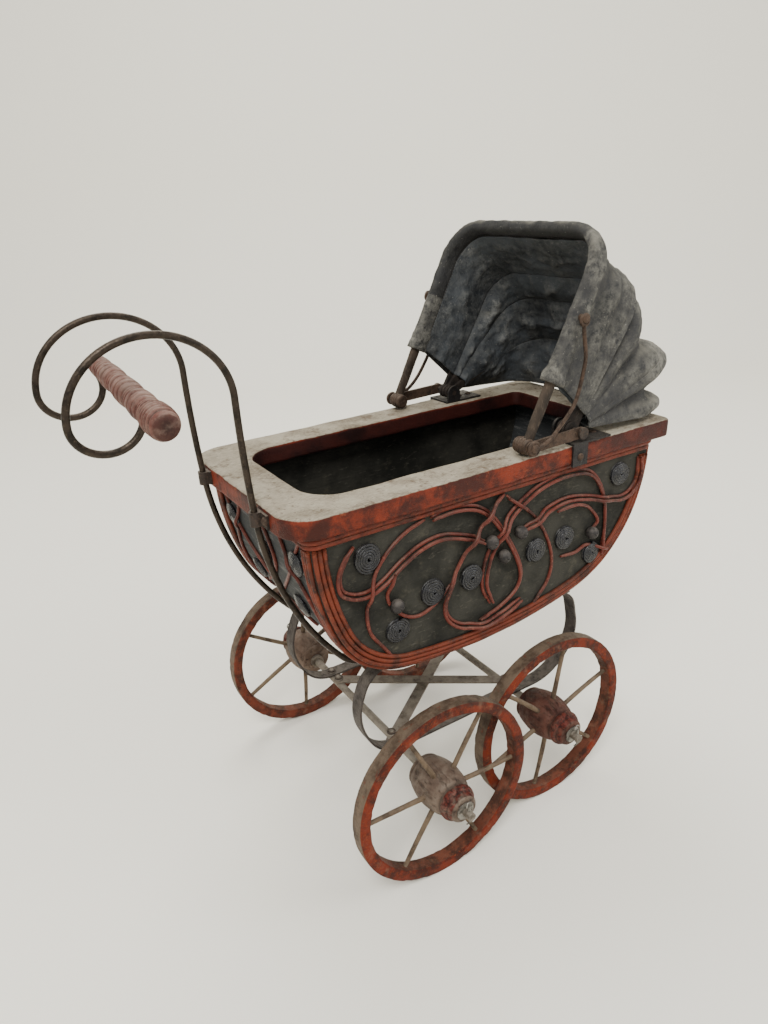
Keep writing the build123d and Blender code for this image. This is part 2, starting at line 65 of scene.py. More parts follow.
# ---------------------------------------------------------------- mesh helpers
class Shell:
    """Collects vertices (mm, x from mid_x), faces and named float attributes."""

    def __init__(self):
        self.v, self.f, self.a = [], [], {}
        self.count = 0

    def add(self, verts, faces, **attrs):
        verts = np.asarray(verts, float).reshape(-1, 3)
        n = len(verts)
        self.v.append(verts)
        self.f += [tuple(int(i) + self.count for i in f) for f in faces]
        for k in set(self.a) | set(attrs):
            self.a.setdefault(k, [np.zeros(self.count)] if self.count else [])
            value = attrs.get(k, 0.0)
            self.a[k].append(np.broadcast_to(np.asarray(value, float), (n,)).copy())
        self.count += n
        return self

    def build(self, name, mat, body=None, replaces=(), smooth=True, wobble=None, sharp=None):
        verts = np.vstack(self.v)
        if wobble:
            size, scale, seed = wobble
            for i, p in enumerate(verts):
                q = Vector(p / scale + seed)
                verts[i] += size * np.array(noise.noise_vector(q))
        mesh = bpy.data.meshes.new(name)
        out = verts.copy()
        out[:, 0] += MID
        mesh.from_pydata((out / 1000).tolist(), [], self.f)
        mesh.validate()
        mesh.polygons.foreach_set("use_smooth", [smooth] * len(mesh.polygons))
        for k, parts in self.a.items():
            attr = mesh.attributes.new(k, "FLOAT", "POINT")
            attr.data.foreach_set("value", np.concatenate(parts).astype(np.float32))
        if sharp:
            mesh.set_sharp_from_angle(angle=math.radians(sharp))
        mesh.update()
        obj = bpy.data.objects.new(name, mesh)
        bpy.context.scene.collection.objects.link(obj)
        mesh.materials.append(mat)
        if replaces:
            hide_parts(*replaces)
        if body:
            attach(obj, body)
        return obj


def grid(n, m, wrap_n=False, wrap_m=False, flip=False):
    faces = []
    for i in range(n if wrap_n else n - 1):
        for j in range(m if wrap_m else m - 1):
            a, b = i * m + j, i * m + (j + 1) % m
            c, d = ((i + 1) % n) * m + (j + 1) % m, ((i + 1) % n) * m + j
            faces.append((a, d, c, b) if flip else (a, b, c, d))
    return faces


def unit(v):
    v = np.asarray(v, float)
    return v / (np.linalg.norm(v, axis=-1, keepdims=True) + 1e-12)


def smooth_path(points, per=8, closed=False):
    """A Catmull-Rom curve through the points."""
    p = np.asarray(points, float)
    n = len(p)
    out = []
    for i in range(n if closed else n - 1):
        if closed:
            a, b, c, d = p[(i - 1) % n], p[i], p[(i + 1) % n], p[(i + 2) % n]
        else:
            b, c = p[i], p[i + 1]
            a = p[i - 1] if i else 2 * b - c
            d = p[i + 2] if i + 2 < n else 2 * c - b
        for k in range(per):
            t = k / per
            out.append(0.5 * (2 * b + (c - a) * t + (2 * a - 5 * b + 4 * c - d) * t**2 + (3 * b - a - 3 * c + d) * t**3))
    if not closed:
        out.append(p[-1])
    return np.array(out)


def even(path, step, closed=False):
    """The path again, with points an even step apart."""
    p = np.asarray(path, float)
    if closed:
        p = np.vstack([p, p[:1]])
    d = np.concatenate([[0], np.cumsum(np.linalg.norm(np.diff(p, axis=0), axis=1))])
    n = max(2, int(round(d[-1] / step)) + 1)
    s = np.linspace(0, d[-1], n)
    out = np.column_stack([np.interp(s, d, p[:, k]) for k in range(3)])
    return out[:-1] if closed else out


def frames(path, closed=False, up=None):
    """Tangent, side and normal along a path. up holds the side vector steady."""
    t = np.gradient(path, axis=0) if not closed else np.roll(path, -1, 0) - np.roll(path, 1, 0)
    t = unit(t)
    if up is not None:
        side = unit(np.cross(t, np.broadcast_to(np.asarray(up, float), t.shape)))
        return t, side, unit(np.cross(side, t))
    start = np.array([0, 1.0, 0]) if abs(t[0][1]) < 0.9 else np.array([1.0, 0, 0])
    side = [unit(np.cross(t[0], start))]
    for i in range(1, len(path)):
        s = side[-1] - t[i] * np.dot(side[-1], t[i])
        side.append(unit(s))
    side = np.array(side)
    return t, side, unit(np.cross(side, t))


def tube(shell, path, r, segs=10, closed=False, up=None, section=None, caps=True, **attrs):
    """A round tube, or a swept section of (side, normal) pairs, along a path."""
    path = np.asarray(path, float)
    n = len(path)
    t, side, norm = frames(path, closed, up)
    rr = np.broadcast_to(np.asarray(r, float), (n,))
    if section is None:
        ang = np.arange(segs) / segs * TAU
        section = np.column_stack([np.cos(ang), np.sin(ang)])
    section = np.asarray(section, float)
    m = len(section)
    verts = path[:, None, :] + rr[:, None, None] * (
        section[None, :, 0, None] * side[:, None, :] + section[None, :, 1, None] * norm[:, None, :]
    )
    verts = verts.reshape(-1, 3)
    faces = grid(n, m, wrap_n=closed, wrap_m=True, flip=True)
    if caps and not closed:
        dome = 0.45
        first, last = path[0] - t[0] * rr[0] * dome, path[-1] + t[-1] * rr[-1] * dome
        inner = []
        for end, centre_p, k in ((0, first, 0), (1, last, n - 1)):
            ring = path[k] + (verts[k * m:(k + 1) * m] - path[k]) * 0.62 + (centre_p - path[k]) * 0.8
            inner.append(ring)
        base = len(verts)
        verts = np.vstack([verts, inner[0], first[None], inner[1], last[None]])
        a0, c0, a1, c1 = base, base + m, base + m + 1, base + 2 * m + 1
        for j in range(m):
            k = (j + 1) % m
            faces += [(j, a0 + j, a0 + k, k), (a0 + j, c0, a0 + k)]
            e = (n - 1) * m
            faces += [(e + j, e + k, a1 + k, a1 + j), (a1 + j, a1 + k, c1)]
        attrs = {k: (np.concatenate([np.repeat(v, m), np.full(m + 1, v[0]), np.full(m + 1, v[-1])])
                     if np.ndim(v) == 1 and len(v) == n else v) for k, v in attrs.items()}
    else:
        attrs = {k: (np.repeat(v, m) if np.ndim(v) == 1 and len(v) == n else v) for k, v in attrs.items()}
    shell.add(verts, faces, **attrs)
    return shell


def lathe(shell, profile, origin, axis=(0, 1, 0), segs=64, squash=None, **attrs):
    """A turned shape: profile of (along, radius) from one end to the other. squash(k, angle) scales the radius."""
    axis = unit(axis)
    ref = np.array([0, 0, 1.0]) if abs(axis[2]) < 0.9 else np.array([1.0, 0, 0])
    u = unit(np.cross(ref, axis))
    w = np.cross(axis, u)
    ang = np.arange(segs) / segs * TAU
    ring = np.cos(ang)[:, None] * w + np.sin(ang)[:, None] * u
    prof = np.asarray(profile, float)
    verts = []
    for k, (along, r) in enumerate(prof):
        rad = np.full(segs, r)
        if squash is not None:
            rad = rad * np.array([squash(k, a) for a in ang])
        verts.append(np.asarray(origin) + axis * along + ring * rad[:, None])
    n = len(prof)
    shell.add(np.vstack(verts), grid(n, segs, wrap_m=True),
              **{k: (np.repeat(v, segs) if np.ndim(v) == 1 and len(v) == n else v) for k, v in attrs.items()})
    return shell


def rounded(points, r=0.6, steps=3):
    """A profile with its corners rounded by up to r."""
    p = [np.asarray(q, float) for q in points]
    out = [p[0]]
    for a, b, c in zip(p, p[1:], p[2:]):
        da, dc = np.linalg.norm(a - b), np.linalg.norm(c - b)
        k = min(r, da * 0.45, dc * 0.45)
        s, e = b + (a - b) / da * k, b + (c - b) / dc * k
        for i in range(steps + 1):
            t = i / steps
            out.append((1 - t) ** 2 * s + 2 * t * (1 - t) * b + t * t * e)
    out.append(p[-1])
    return out


def plate(shell, outline, origin, x_dir, y_dir, thick, bevel=0.5, **attrs):
    """A flat plate with bevelled edges: outline in (x, y) on the plane, thick along x_dir × y_dir."""
    x_dir, y_dir = unit(x_dir), unit(y_dir)
    n_dir = np.cross(x_dir, y_dir)
    o = np.asarray(outline, float)
    n = len(o)
    e1 = unit(np.roll(o, -1, 0) - o)
    e0 = unit(o - np.roll(o, 1, 0))
    nrm = unit(np.column_stack([(e0 + e1)[:, 1], -(e0 + e1)[:, 0]]))
    area = 0.5 * np.sum(o[:, 0] * np.roll(o[:, 1], -1) - np.roll(o[:, 0], -1) * o[:, 1])
    if area < 0:
        nrm = -nrm
    rings = []
    for inset, h in ((bevel, 0), (bevel * 0.3, bevel * 0.3), (0, bevel), (0, thick - bevel),
                     (bevel * 0.3, thick - bevel * 0.3), (bevel, thick)):
        q = o - nrm * inset
        rings.append(np.asarray(origin) + q[:, :1] * x_dir + q[:, 1:] * y_dir + n_dir * h)
    verts = np.vstack(rings)
    faces = grid(6, n, wrap_m=True, flip=area < 0)
    faces.append(tuple(range(n))[::-1] if area > 0 else tuple(range(n)))
    faces.append(tuple(range(5 * n, 6 * n)) if area > 0 else tuple(range(5 * n, 6 * n))[::-1])
    shell.add(verts, faces, **attrs)
    return shell


def slot_outline(length, width, segs=10):
    h = width / 2
    right = [(length / 2 + h * math.cos(a), h * math.sin(a)) for a in np.linspace(-math.pi / 2, math.pi / 2, segs)]
    return right + [(-x, -y) for x, y in right]


# ---------------------------------------------------------------- materials
def lin(rgb):
    return [((c / 255) / 12.92 if c / 255 <= 0.04045 else ((c / 255 + 0.055) / 1.055) ** 2.4) for c in rgb] + [1.0]


class Mat:
    """Small wrapper that builds a node tree for one material."""

    def __init__(self, name):
        self.mat = bpy.data.materials.new(name)
        self.mat.use_nodes = True
        self.t = self.mat.node_tree
        self.bsdf = self.t.nodes["Principled BSDF"]
        self.co = self.t.nodes.new("ShaderNodeTexCoord")
        self.height = None

    def link(self, a, b):
        self.t.links.new(a, b)

    def put(self, value, socket):
        if hasattr(value, "is_linked") or isinstance(value, bpy.types.NodeSocket):
            self.link(value, socket)
        else:
            socket.default_value = value

    def scaled(self, stretch, rotate=(0, 0, 0)):
        m = self.t.nodes.new("ShaderNodeMapping")
        self.link(self.co.outputs["Object"], m.inputs["Vector"])
        m.inputs["Scale"].default_value = stretch
        m.inputs["Rotation"].default_value = rotate
        return m.outputs["Vector"]

    def noise(self, scale, detail=5, rough=0.6, vec=None, warp=0.0):
        n = self.t.nodes.new("ShaderNodeTexNoise")
        n.inputs["Scale"].default_value = scale
        n.inputs["Detail"].default_value = detail
        n.inputs["Roughness"].default_value = rough
        n.inputs["Distortion"].default_value = warp
        self.link(vec if vec is not None else self.co.outputs["Object"], n.inputs["Vector"])
        return n.outputs["Fac"]

    def voronoi(self, scale, vec=None, feature="DISTANCE_TO_EDGE"):
        n = self.t.nodes.new("ShaderNodeTexVoronoi")
        n.feature = feature
        n.inputs["Scale"].default_value = scale
        self.link(vec if vec is not None else self.co.outputs["Object"], n.inputs["Vector"])
        return n.outputs["Distance"]

    def ramp(self, fac, lo, hi, a=0.0, b=1.0):
        n = self.t.nodes.new("ShaderNodeMapRange")
        n.interpolation_type = "SMOOTHSTEP"
        self.link(fac, n.inputs["Value"])
        for k, v in (("From Min", lo), ("From Max", hi), ("To Min", a), ("To Max", b)):
            n.inputs[k].default_value = v
        return n.outputs["Result"]

    def math(self, op, a, b=0.0, clamp=False):
        n = self.t.nodes.new("ShaderNodeMath")
        n.operation = op
        n.use_clamp = clamp
        self.put(a, n.inputs[0])
        self.put(b, n.inputs[1])
        return n.outputs[0]

    def mix(self, fac, a, b):
        n = self.t.nodes.new("ShaderNodeMix")
        n.data_type = "RGBA"
        self.put(fac, n.inputs[0])
        self.put(a, n.inputs[6])
        self.put(b, n.inputs[7])
        return n.outputs[2]

    def attr(self, name):
        n = self.t.nodes.new("ShaderNodeAttribute")
        n.attribute_name = name
        return n.outputs["Fac"]

    def up(self, lo=0.2, hi=0.9):
        """How far the surface faces upward, in the object's own frame."""
        s = self.t.nodes.new("ShaderNodeSeparateXYZ")
        self.link(self.co.outputs["Normal"], s.inputs[0])
        return self.ramp(s.outputs["Z"], lo, hi)

    def axis(self, which):
        s = self.t.nodes.new("ShaderNodeSeparateXYZ")
        self.link(self.co.outputs["Object"], s.inputs[0])
        return s.outputs[which]

    def bump(self, height, distance, strength=1.0):
        n = self.t.nodes.new("ShaderNodeBump")
        n.inputs["Distance"].default_value = distance
        n.inputs["Strength"].default_value = strength
        self.link(height, n.inputs["Height"])
        if self.height is not None:
            self.link(self.height, n.inputs["Normal"])
        self.height = n.outputs["Normal"]

    def done(self, colour, rough, metal=0.0, spec=0.5):
        self.put(colour, self.bsdf.inputs["Base Color"])
        self.put(rough, self.bsdf.inputs["Roughness"])
        self.bsdf.inputs["Metallic"].default_value = metal
        self.bsdf.inputs["Specular IOR Level"].default_value = spec
        if self.height is not None:
            self.link(self.height, self.bsdf.inputs["Normal"])
        return self.mat


def worn(name, base, dark, light, dust=None, dusty=0.5, edge=None, rough=0.6, metal=0.0, scale=60,
         fine=500, relief=0.0004, stretch=(1, 1, 1), spec=0.2, dust_all=0.0):
    """Aged surface: mottled base, dark grime, light scuffs, settled dust, a darker colour where the edge attribute is
    set, and painted shade where the gap attribute is set.
    """
    m = Mat(name)
    vec = m.scaled(stretch)
    broad = m.noise(scale, 6, 0.6, vec)
    small = m.noise(fine, 4, 0.65, vec)
    c = m.mix(m.ramp(broad, 0.42, 0.68), lin(base), lin(dark))
    c = m.mix(m.math("MULTIPLY", m.ramp(small, 0.52, 0.74), 0.6), c, lin(light))
    if edge:
        w = m.math("MULTIPLY", m.attr("edge"), m.ramp(m.noise(scale * 3, 5, 0.7), 0.36, 0.56))
        c = m.mix(w, c, lin(edge))
    # painted shade: where the gap attribute is set, the colour darkens towards 0.3 times the dark colour
    c = m.mix(m.ramp(m.attr("gap"), 0.1, 0.9), c, lin([v * 0.3 for v in dark]))
    if dust:
        settle = m.math("MULTIPLY", m.up(), m.ramp(m.noise(scale * 1.7, 5, 0.6), 0.3, 0.62))
        amount = m.math("MULTIPLY", settle, dusty)
        patch = m.math("MULTIPLY", m.ramp(m.noise(scale * 1.1 + 13, 6, 0.65), 0.46, 0.68), dust_all)
        c = m.mix(m.math("MAXIMUM", amount, patch), c, lin(dust))
    m.bump(small, relief)
    m.bump(broad, relief * 3)
    return m.done(c, m.ramp(small, 0.3, 0.7, rough - 0.1, min(1, rough + 0.12)), metal, spec)


RED, RED_DARK, RED_LIGHT = (142, 58, 36), (84, 36, 28), (172, 92, 62)
DUST = (166, 156, 142)


def rim_material():
    m = Mat("rim_paint")
    grain = m.scaled((30, 160, 160))
    streak = m.noise(9, 6, 0.65, grain)
    patch = m.noise(32, 6, 0.62)
    speck = m.noise(620, 3, 0.6)
    top = m.mix(m.ramp(patch, 0.38, 0.66), lin((152, 144, 127)), lin((118, 108, 92)))
    top = m.mix(m.math("MULTIPLY", m.ramp(streak, 0.45, 0.7), 0.55), top, lin((188, 181, 164)))
    top = m.mix(m.math("MULTIPLY", m.ramp(m.noise(75, 6, 0.7), 0.53, 0.66), 0.75), top, lin((98, 84, 70)))
    top = m.mix(m.math("MULTIPLY", m.ramp(m.noise(300, 4, 0.75), 0.58, 0.68), 0.6), top, lin((84, 64, 52)))
    crackle = m.ramp(m.voronoi(95, m.scaled((0.55, 1, 1))), 0.0, 0.035, 1, 0)
    top = m.mix(m.math("MULTIPLY", crackle, m.ramp(patch, 0.42, 0.6, 0.0, 0.45)), top, lin((88, 76, 64)))
    side = m.mix(m.ramp(m.noise(48, 6, 0.65), 0.38, 0.6), lin((114, 44, 26)), lin((58, 27, 21)))
    side = m.mix(m.math("MULTIPLY", m.ramp(speck, 0.56, 0.7), 0.5), side, lin((44, 24, 20)))
    side = m.mix(m.math("MULTIPLY", m.ramp(m.noise(90, 5, 0.7), 0.58, 0.7), 0.55), side, lin((142, 74, 46)))
    inner = m.mix(m.ramp(patch, 0.4, 0.65), lin((60, 28, 24)), lin((36, 20, 19)))
    # painted shadow: the red side darkens towards the hood end, where the hood shades the rim
    side = m.mix(m.ramp(m.axis("X"), 0.1, 0.18, 0, 0.75), side, lin((52, 27, 24)))
    side = m.mix(m.attr("inner"), side, inner)
    rub = m.math("ADD", m.attr("top"), m.ramp(m.noise(110, 5, 0.7), 0.35, 0.65, -0.06, 0.06), clamp=True)
    c = m.mix(m.ramp(rub, 0.4, 0.62), side, top)
    m.bump(speck, 0.0003)
    m.bump(streak, 0.0005)
    m.bump(patch, 0.0009)
    return m.done(c, m.ramp(rub, 0.2, 0.7, 0.5, 0.85), spec=0.14)


def cloth_material(name="hood_leathercloth", base=(50, 50, 51), dark=(30, 31, 33), scuffed=(116, 114, 107)):
    """Old leathercloth: near-black, creased, with the coat scuffed to grey-tan on the ridges."""
    m = Mat(name)
    crease = m.voronoi(170, m.scaled((1, 1, 1)))
    weave = m.noise(1500, 2, 0.5)
    blotch = m.noise(30, 6, 0.6)
    scuff = m.noise(210, 6, 0.75)
    c = m.mix(m.ramp(blotch, 0.34, 0.7), lin(base), lin(dark))
    ridge = m.ramp(m.attr("ridge"), 0.12, 0.95)
    worn_here = m.math("MULTIPLY", m.ramp(scuff, 0.3, 0.66), m.math("ADD", m.math("MULTIPLY", ridge, 0.95), 0.16))
    worn_here = m.math("MULTIPLY", worn_here, m.ramp(blotch, 0.28, 0.55), clamp=True)
    c = m.mix(worn_here, c, lin(scuffed))
    c = m.mix(m.math("MULTIPLY", m.ramp(m.noise(700, 2, 0.5), 0.68, 0.76), 0.5), c, lin((150, 147, 138)))
    dusty = m.math("MULTIPLY", m.up(0.3, 0.95), m.ramp(m.noise(52, 6, 0.6), 0.36, 0.66, 0, 0.5))
    c = m.mix(dusty, c, lin((138, 134, 121)))
    # painted shade: the inside attribute darkens the cloth towards near black
    c = m.mix(m.ramp(m.attr("inside"), 0.3, 0.7, 0, 0.62), c, lin((22, 22, 24)))
    # painted shade: the gap attribute darkens the folds towards black
    c = m.mix(m.ramp(m.attr("gap"), 0.0, 1.0, 0, 0.85), c, lin((14, 14, 14)))
    m.bump(weave, 0.0001)
    m.bump(m.ramp(crease, 0.0, 0.12), 0.00012)
    m.bump(scuff, 0.0006)
    m.bump(m.noise(75, 4, 0.55, m.scaled((1, 0.45, 1))), 0.0013)
    m.bump(blotch, 0.0012)
    return m.done(c, m.ramp(scuff, 0.3, 0.7, 0.6, 0.88), spec=0.14)


def panel_material():
    m = Mat("panel_board")
    broad = m.noise(26, 6, 0.62)
    small = m.noise(420, 4, 0.7, m.scaled((0.35, 1, 1)))
    lines = m.noise(60, 4, 0.6, m.scaled((0.4, 1, 9)))
    c = m.mix(m.ramp(broad, 0.38, 0.66), lin((54, 53, 48)), lin((32, 32, 29)))
    c = m.mix(m.math("MULTIPLY", m.ramp(small, 0.56, 0.76), 0.5), c, lin((96, 93, 84)))
    c = m.mix(m.math("MULTIPLY", m.ramp(m.noise(70, 6, 0.7), 0.55, 0.74), 0.45), c, lin((84, 80, 68)))
    m.bump(small, 0.0003)
    m.bump(lines, 0.0004)
    return m.done(c, m.ramp(small, 0.3, 0.7, 0.7, 0.9), spec=0.12)


def lining_material():
    """The tub's inside: black paint brushed along the boards, rubbed to grey."""
    m = Mat("tub_lining")
    strokes = m.noise(34, 7, 0.72, m.scaled((0.5, 1, 7)))
    small = m.noise(500, 3, 0.6, m.scaled((0.3, 1, 2)))
    c = m.mix(m.ramp(strokes, 0.5, 0.72), lin((50, 52, 53)), lin((98, 99, 97)))
    c = m.mix(m.math("MULTIPLY", m.ramp(small, 0.62, 0.75), 0.5), c, lin((128, 126, 120)))
    m.bump(strokes, 0.0006)
    m.bump(small, 0.0002)
    return m.done(c, 0.75, spec=0.2)


def wood_hub(name, base, dark, light, dust, amount):
    """Turned wood with cracks along the hub."""
    m = Mat(name)
    vec = m.scaled((170, 26, 170))
    cracks = m.noise(2.2, 5, 0.7, vec)
    speck = m.noise(480, 4, 0.65)
    c = m.mix(m.ramp(m.noise(70, 5, 0.6), 0.4, 0.65), lin(base), lin(light))
    c = m.mix(m.ramp(cracks, 0.58, 0.7, 0, 0.75), c, lin(dark))
    c = m.mix(m.ramp(m.attr("ring"), 0.4, 0.6), c, m.mix(m.ramp(speck, 0.4, 0.6), lin((92, 36, 27)), lin((54, 25, 21))))
    c = m.mix(m.math("MULTIPLY", m.ramp(m.noise(130, 5, 0.65), 0.42, 0.66), amount), c, lin(dust))
    # painted shade in the hub's grooves and axle bore, where the gap attribute is set
    c = m.mix(m.ramp(m.attr("gap"), 0.2, 0.9), c, lin((26, 20, 18)))
    m.bump(m.ramp(cracks, 0.52, 0.7, 1, 0), 0.0008)
    m.bump(speck, 0.0003)
    return m.done(c, m.ramp(speck, 0.3, 0.7, 0.5, 0.8), spec=0.22)


def wheel_material():
    m = Mat("wheel_paint")
    mottled = m.noise(75, 6, 0.66)
    speck = m.noise(560, 4, 0.7)
    face = m.mix(m.ramp(mottled, 0.4, 0.62), lin((102, 37, 20)), lin((54, 25, 18)))
    face = m.mix(m.math("MULTIPLY", m.ramp(speck, 0.52, 0.7), 0.55), face, lin((136, 70, 42)))
    tread = m.mix(m.ramp(mottled, 0.4, 0.65), lin((98, 84, 70)), lin((66, 54, 44)))
    tread = m.mix(m.ramp(m.noise(130, 5, 0.7), 0.58, 0.68, 0, 0.6), tread, lin((96, 42, 28)))
    edge = m.math("MULTIPLY", m.attr("edge"), m.ramp(m.noise(58, 6, 0.7), 0.46, 0.66, 0, 0.62))
    c = m.mix(m.ramp(m.attr("tread"), 0.3, 0.7), face, tread)
    c = m.mix(edge, c, lin((48, 34, 30)))
    c = m.mix(m.math("MULTIPLY", m.ramp(m.noise(120, 6, 0.6), 0.54, 0.72), 0.28), c, lin((128, 104, 84)))
    m.bump(speck, 0.0004)
    m.bump(mottled, 0.0009)
    return m.done(c, m.ramp(speck, 0.3, 0.7, 0.5, 0.8), spec=0.14)


M_RIM = rim_material()
M_CLOTH = cloth_material()
M_HOOD_LINING = cloth_material("hood_lining_cloth", (66, 70, 74), (30, 33, 37), (124, 124, 120))
M_PANEL = panel_material()
M_LINING = lining_material()
M_WHEEL = wheel_material()
M_RED = worn("red_moulding", (98, 40, 26), (54, 26, 20), (136, 72, 48), (150, 120, 100), 0.25, scale=70, rough=0.55)
M_REED = worn("edge_reed", (100, 42, 25), (40, 21, 15), (128, 70, 44), (100, 76, 60), 0.2, edge=(40, 22, 16), scale=65,
              rough=0.46, stretch=(1, 1, 1), relief=0.0003)
M_SCROLL = worn("scroll_reed", (92, 41, 33), (46, 25, 22), (136, 86, 70), (140, 116, 102), 0.3, edge=(48, 26, 22), scale=55,
                rough=0.42, relief=0.0002)
M_COIL = worn("coil_cord", (19, 20, 25), (10, 10, 12), (46, 46, 52), (80, 78, 76), 0.3, scale=160, rough=0.3, spec=0.4,
              relief=0.0003)
M_BEAD = worn("bead", (48, 45, 44), (26, 24, 24), (84, 78, 74), (112, 105, 98), 0.5, scale=120, rough=0.5)
M_ROD = worn("handle_rod", (54, 46, 39), (32, 28, 24), (84, 74, 62), (108, 96, 84), 0.35, scale=110, rough=0.36,
             metal=0.55, relief=0.00025)
M_GRIP = worn("grip_wood", (96, 58, 50), (66, 34, 29), (124, 94, 82), (142, 120, 108), 0.6, edge=(40, 26, 22),
              scale=90, rough=0.55, dust_all=0.3)
M_IRON = worn("iron", (58, 50, 45), (34, 30, 28), (96, 78, 64), (126, 114, 102), 0.5, scale=120, rough=0.6, metal=0.3)
M_BLACK = worn("black_iron", (40, 38, 38), (24, 23, 23), (70, 66, 62), (104, 98, 90), 0.45, scale=140, rough=0.5,
               metal=0.3)
M_RUST = worn("rusty_wire", (70, 55, 45), (40, 31, 26), (100, 84, 71), (116, 103, 90), 0.35, scale=180, rough=0.66,
              metal=0.15)
M_STRAP = worn("dusty_strap", (112, 103, 92), (72, 64, 55), (142, 133, 120), (150, 141, 128), 0.55, scale=90,
               rough=0.7, metal=0.1)
M_SPRING = worn("spring_iron", (72, 66, 62), (42, 37, 35), (100, 92, 85), (128, 120, 110), 0.5, scale=110, rough=0.6,
                metal=0.25)
M_AXLE = worn("axle", (124, 116, 105), (80, 72, 63), (156, 148, 136), (152, 144, 131), 0.5, scale=120, rough=0.55,
              metal=0.3)
M_WIRE = worn("bright_wire", (138, 134, 126), (78, 74, 68), (176, 172, 162), scale=200, rough=0.36, metal=0.7)
M_SPOKE = worn("spoke_wood", (102, 86, 69), (62, 50, 40), (130, 114, 95), (128, 115, 100), 0.35, scale=90,
               rough=0.72, stretch=(1, 1, 1))
M_BATTEN = worn("batten_wood", (88, 72, 60), (52, 42, 36), (120, 104, 90), (140, 128, 114), 0.5, scale=70, rough=0.75)
M_LEG = worn("bow_wood", (66, 56, 47), (38, 32, 27), (98, 87, 75), (116, 105, 92), 0.35, scale=60, rough=0.72,
             stretch=(1, 1, 0.35), relief=0.0006)
# painted shade: a darker copy of the bow wood for the bows that sit inside the hood
M_BOW_SHADED = worn("bow_wood_shaded", (44, 38, 34), (26, 23, 21), (70, 62, 54), scale=90, rough=0.8)
M_ROLLER = worn("roller_wood", (66, 52, 42), (36, 28, 23), (94, 78, 66), (114, 101, 88), 0.4, scale=140, rough=0.6)
M_HUB = {
    "handle_right": wood_hub("hub_grey", (82, 67, 57), (34, 26, 23), (104, 88, 76), (122, 110, 97), 0.5),
    "handle_left": wood_hub("hub_tan", (90, 72, 60), (42, 32, 27), (110, 92, 79), (124, 110, 96), 0.45),
    "hood_right": wood_hub("hub_maroon", (62, 36, 29), (28, 18, 15), (84, 52, 42), (92, 74, 62), 0.35),
    "hood_left": wood_hub("hub_red", (92, 42, 32), (40, 22, 18), (112, 66, 52), (118, 96, 82), 0.4),
}


# ---------------------------------------------------------------- rim board
def rounded_loop(x0, x1, y0, y1, radii, per_side, per_corner):
    """A rounded rectangle's points, anticlockwise from (x1, y0) corner's end. radii: (x0 corners, x1 corners)."""
    a, b = radii
    corners = [(x1 - b, y1 - b, b, 0), (x0 + a, y1 - a, a, 90), (x0 + a, y0 + a, a, 180), (x1 - b, y0 + b, b, 270)]
    pts = []
    for k, (cx, cy, r, start) in enumerate(corners):
        for i in range(per_corner + 1):
            t = math.radians(start + 90 * i / per_corner)
            pts.append((cx + r * math.cos(t), cy + r * math.sin(t)))
        nx, ny, nr, ns = corners[(k + 1) % 4]
        end = pts[-1]
        nxt = (nx + nr * math.cos(math.radians(ns)), ny + nr * math.sin(math.radians(ns)))
        for i in range(1, per_side):
            t = i / per_side
            pts.append((end[0] + (nxt[0] - end[0]) * t, end[1] + (nxt[1] - end[1]) * t))
    return np.array(pts)


low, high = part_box("rim_board")
RX0, RX1 = low.x * 1000 - MID, high.x * 1000 - MID
RZ0, RZ1 = low.z * 1000, high.z * 1000
outer = rounded_loop(RX0, RX1, -83, 83, (22, 4), 60, 14)
inner = rounded_loop(RX0 + 30, RX1 - 30, -56.5, 56.5, (24, 6), 60, 14)
inward = unit(inner - outer)
profile = [("o", 0.8, 0, 0, 0), ("o", 0.2, 0.5, 0, 1), ("o", 0, 1.5, 0, 0.2)]
profile += [("o", 0, h, 0, 0) for h in np.linspace(3, 10.5, 6)]
profile += [("o", 0.2, 12.2, 0.35, 1), ("o", 0.8, 13.0, 0.6, 1), ("o", 1.9, 13.45, 0.9, 0.8), ("o", 4, 13.5, 1, 0.1)]
profile += [("m", t, 13.5, 1, 0) for t in np.linspace(0.22, 0.82, 8)]
profile += [("i", 2.4, 13.5, 1, 0.2), ("i", 0.9, 13.2, 0.8, 1), ("i", 0.2, 12.4, 0.4, 1), ("i", 0, 11, 0, 0.1)]
profile += [("i", 0, h, -1, 0) for h in np.linspace(9, 2, 4)]
profile += [("i", 0.4, 0.3, -1, 0), ("i", 1.2, 0, 0, 0)]
rows, tops, inners, edges = [], [], [], []
for side, off, h, top, edge in profile:
    if side == "o":
        p = outer + inward * off
    elif side == "i":
        p = inner - inward * off
    else:
        p = outer + (inner - outer) * off
    rows.append(np.column_stack([p, np.full(len(p), RZ0 + h)]))
    tops.append(np.full(len(p), max(top, 0)))
    inners.append(np.full(len(p), 1.0 if side == "i" and top <= 0 else 0.0))
    edges.append(np.full(len(p), edge))
n_loop = len(outer)
rim = Shell()
rim.add(np.vstack(rows), grid(len(rows), n_loop, wrap_n=True, wrap_m=True, flip=True),
        top=np.concatenate(tops), inner=np.concatenate(inners), edge=np.concatenate(edges))
rim.build("rim_board_worn", M_RIM, "body", ["rim_board"], wobble=(0.45, 22, 3))

# ---------------------------------------------------------------- tub outline and its reeds
TUB_Y = 75.0


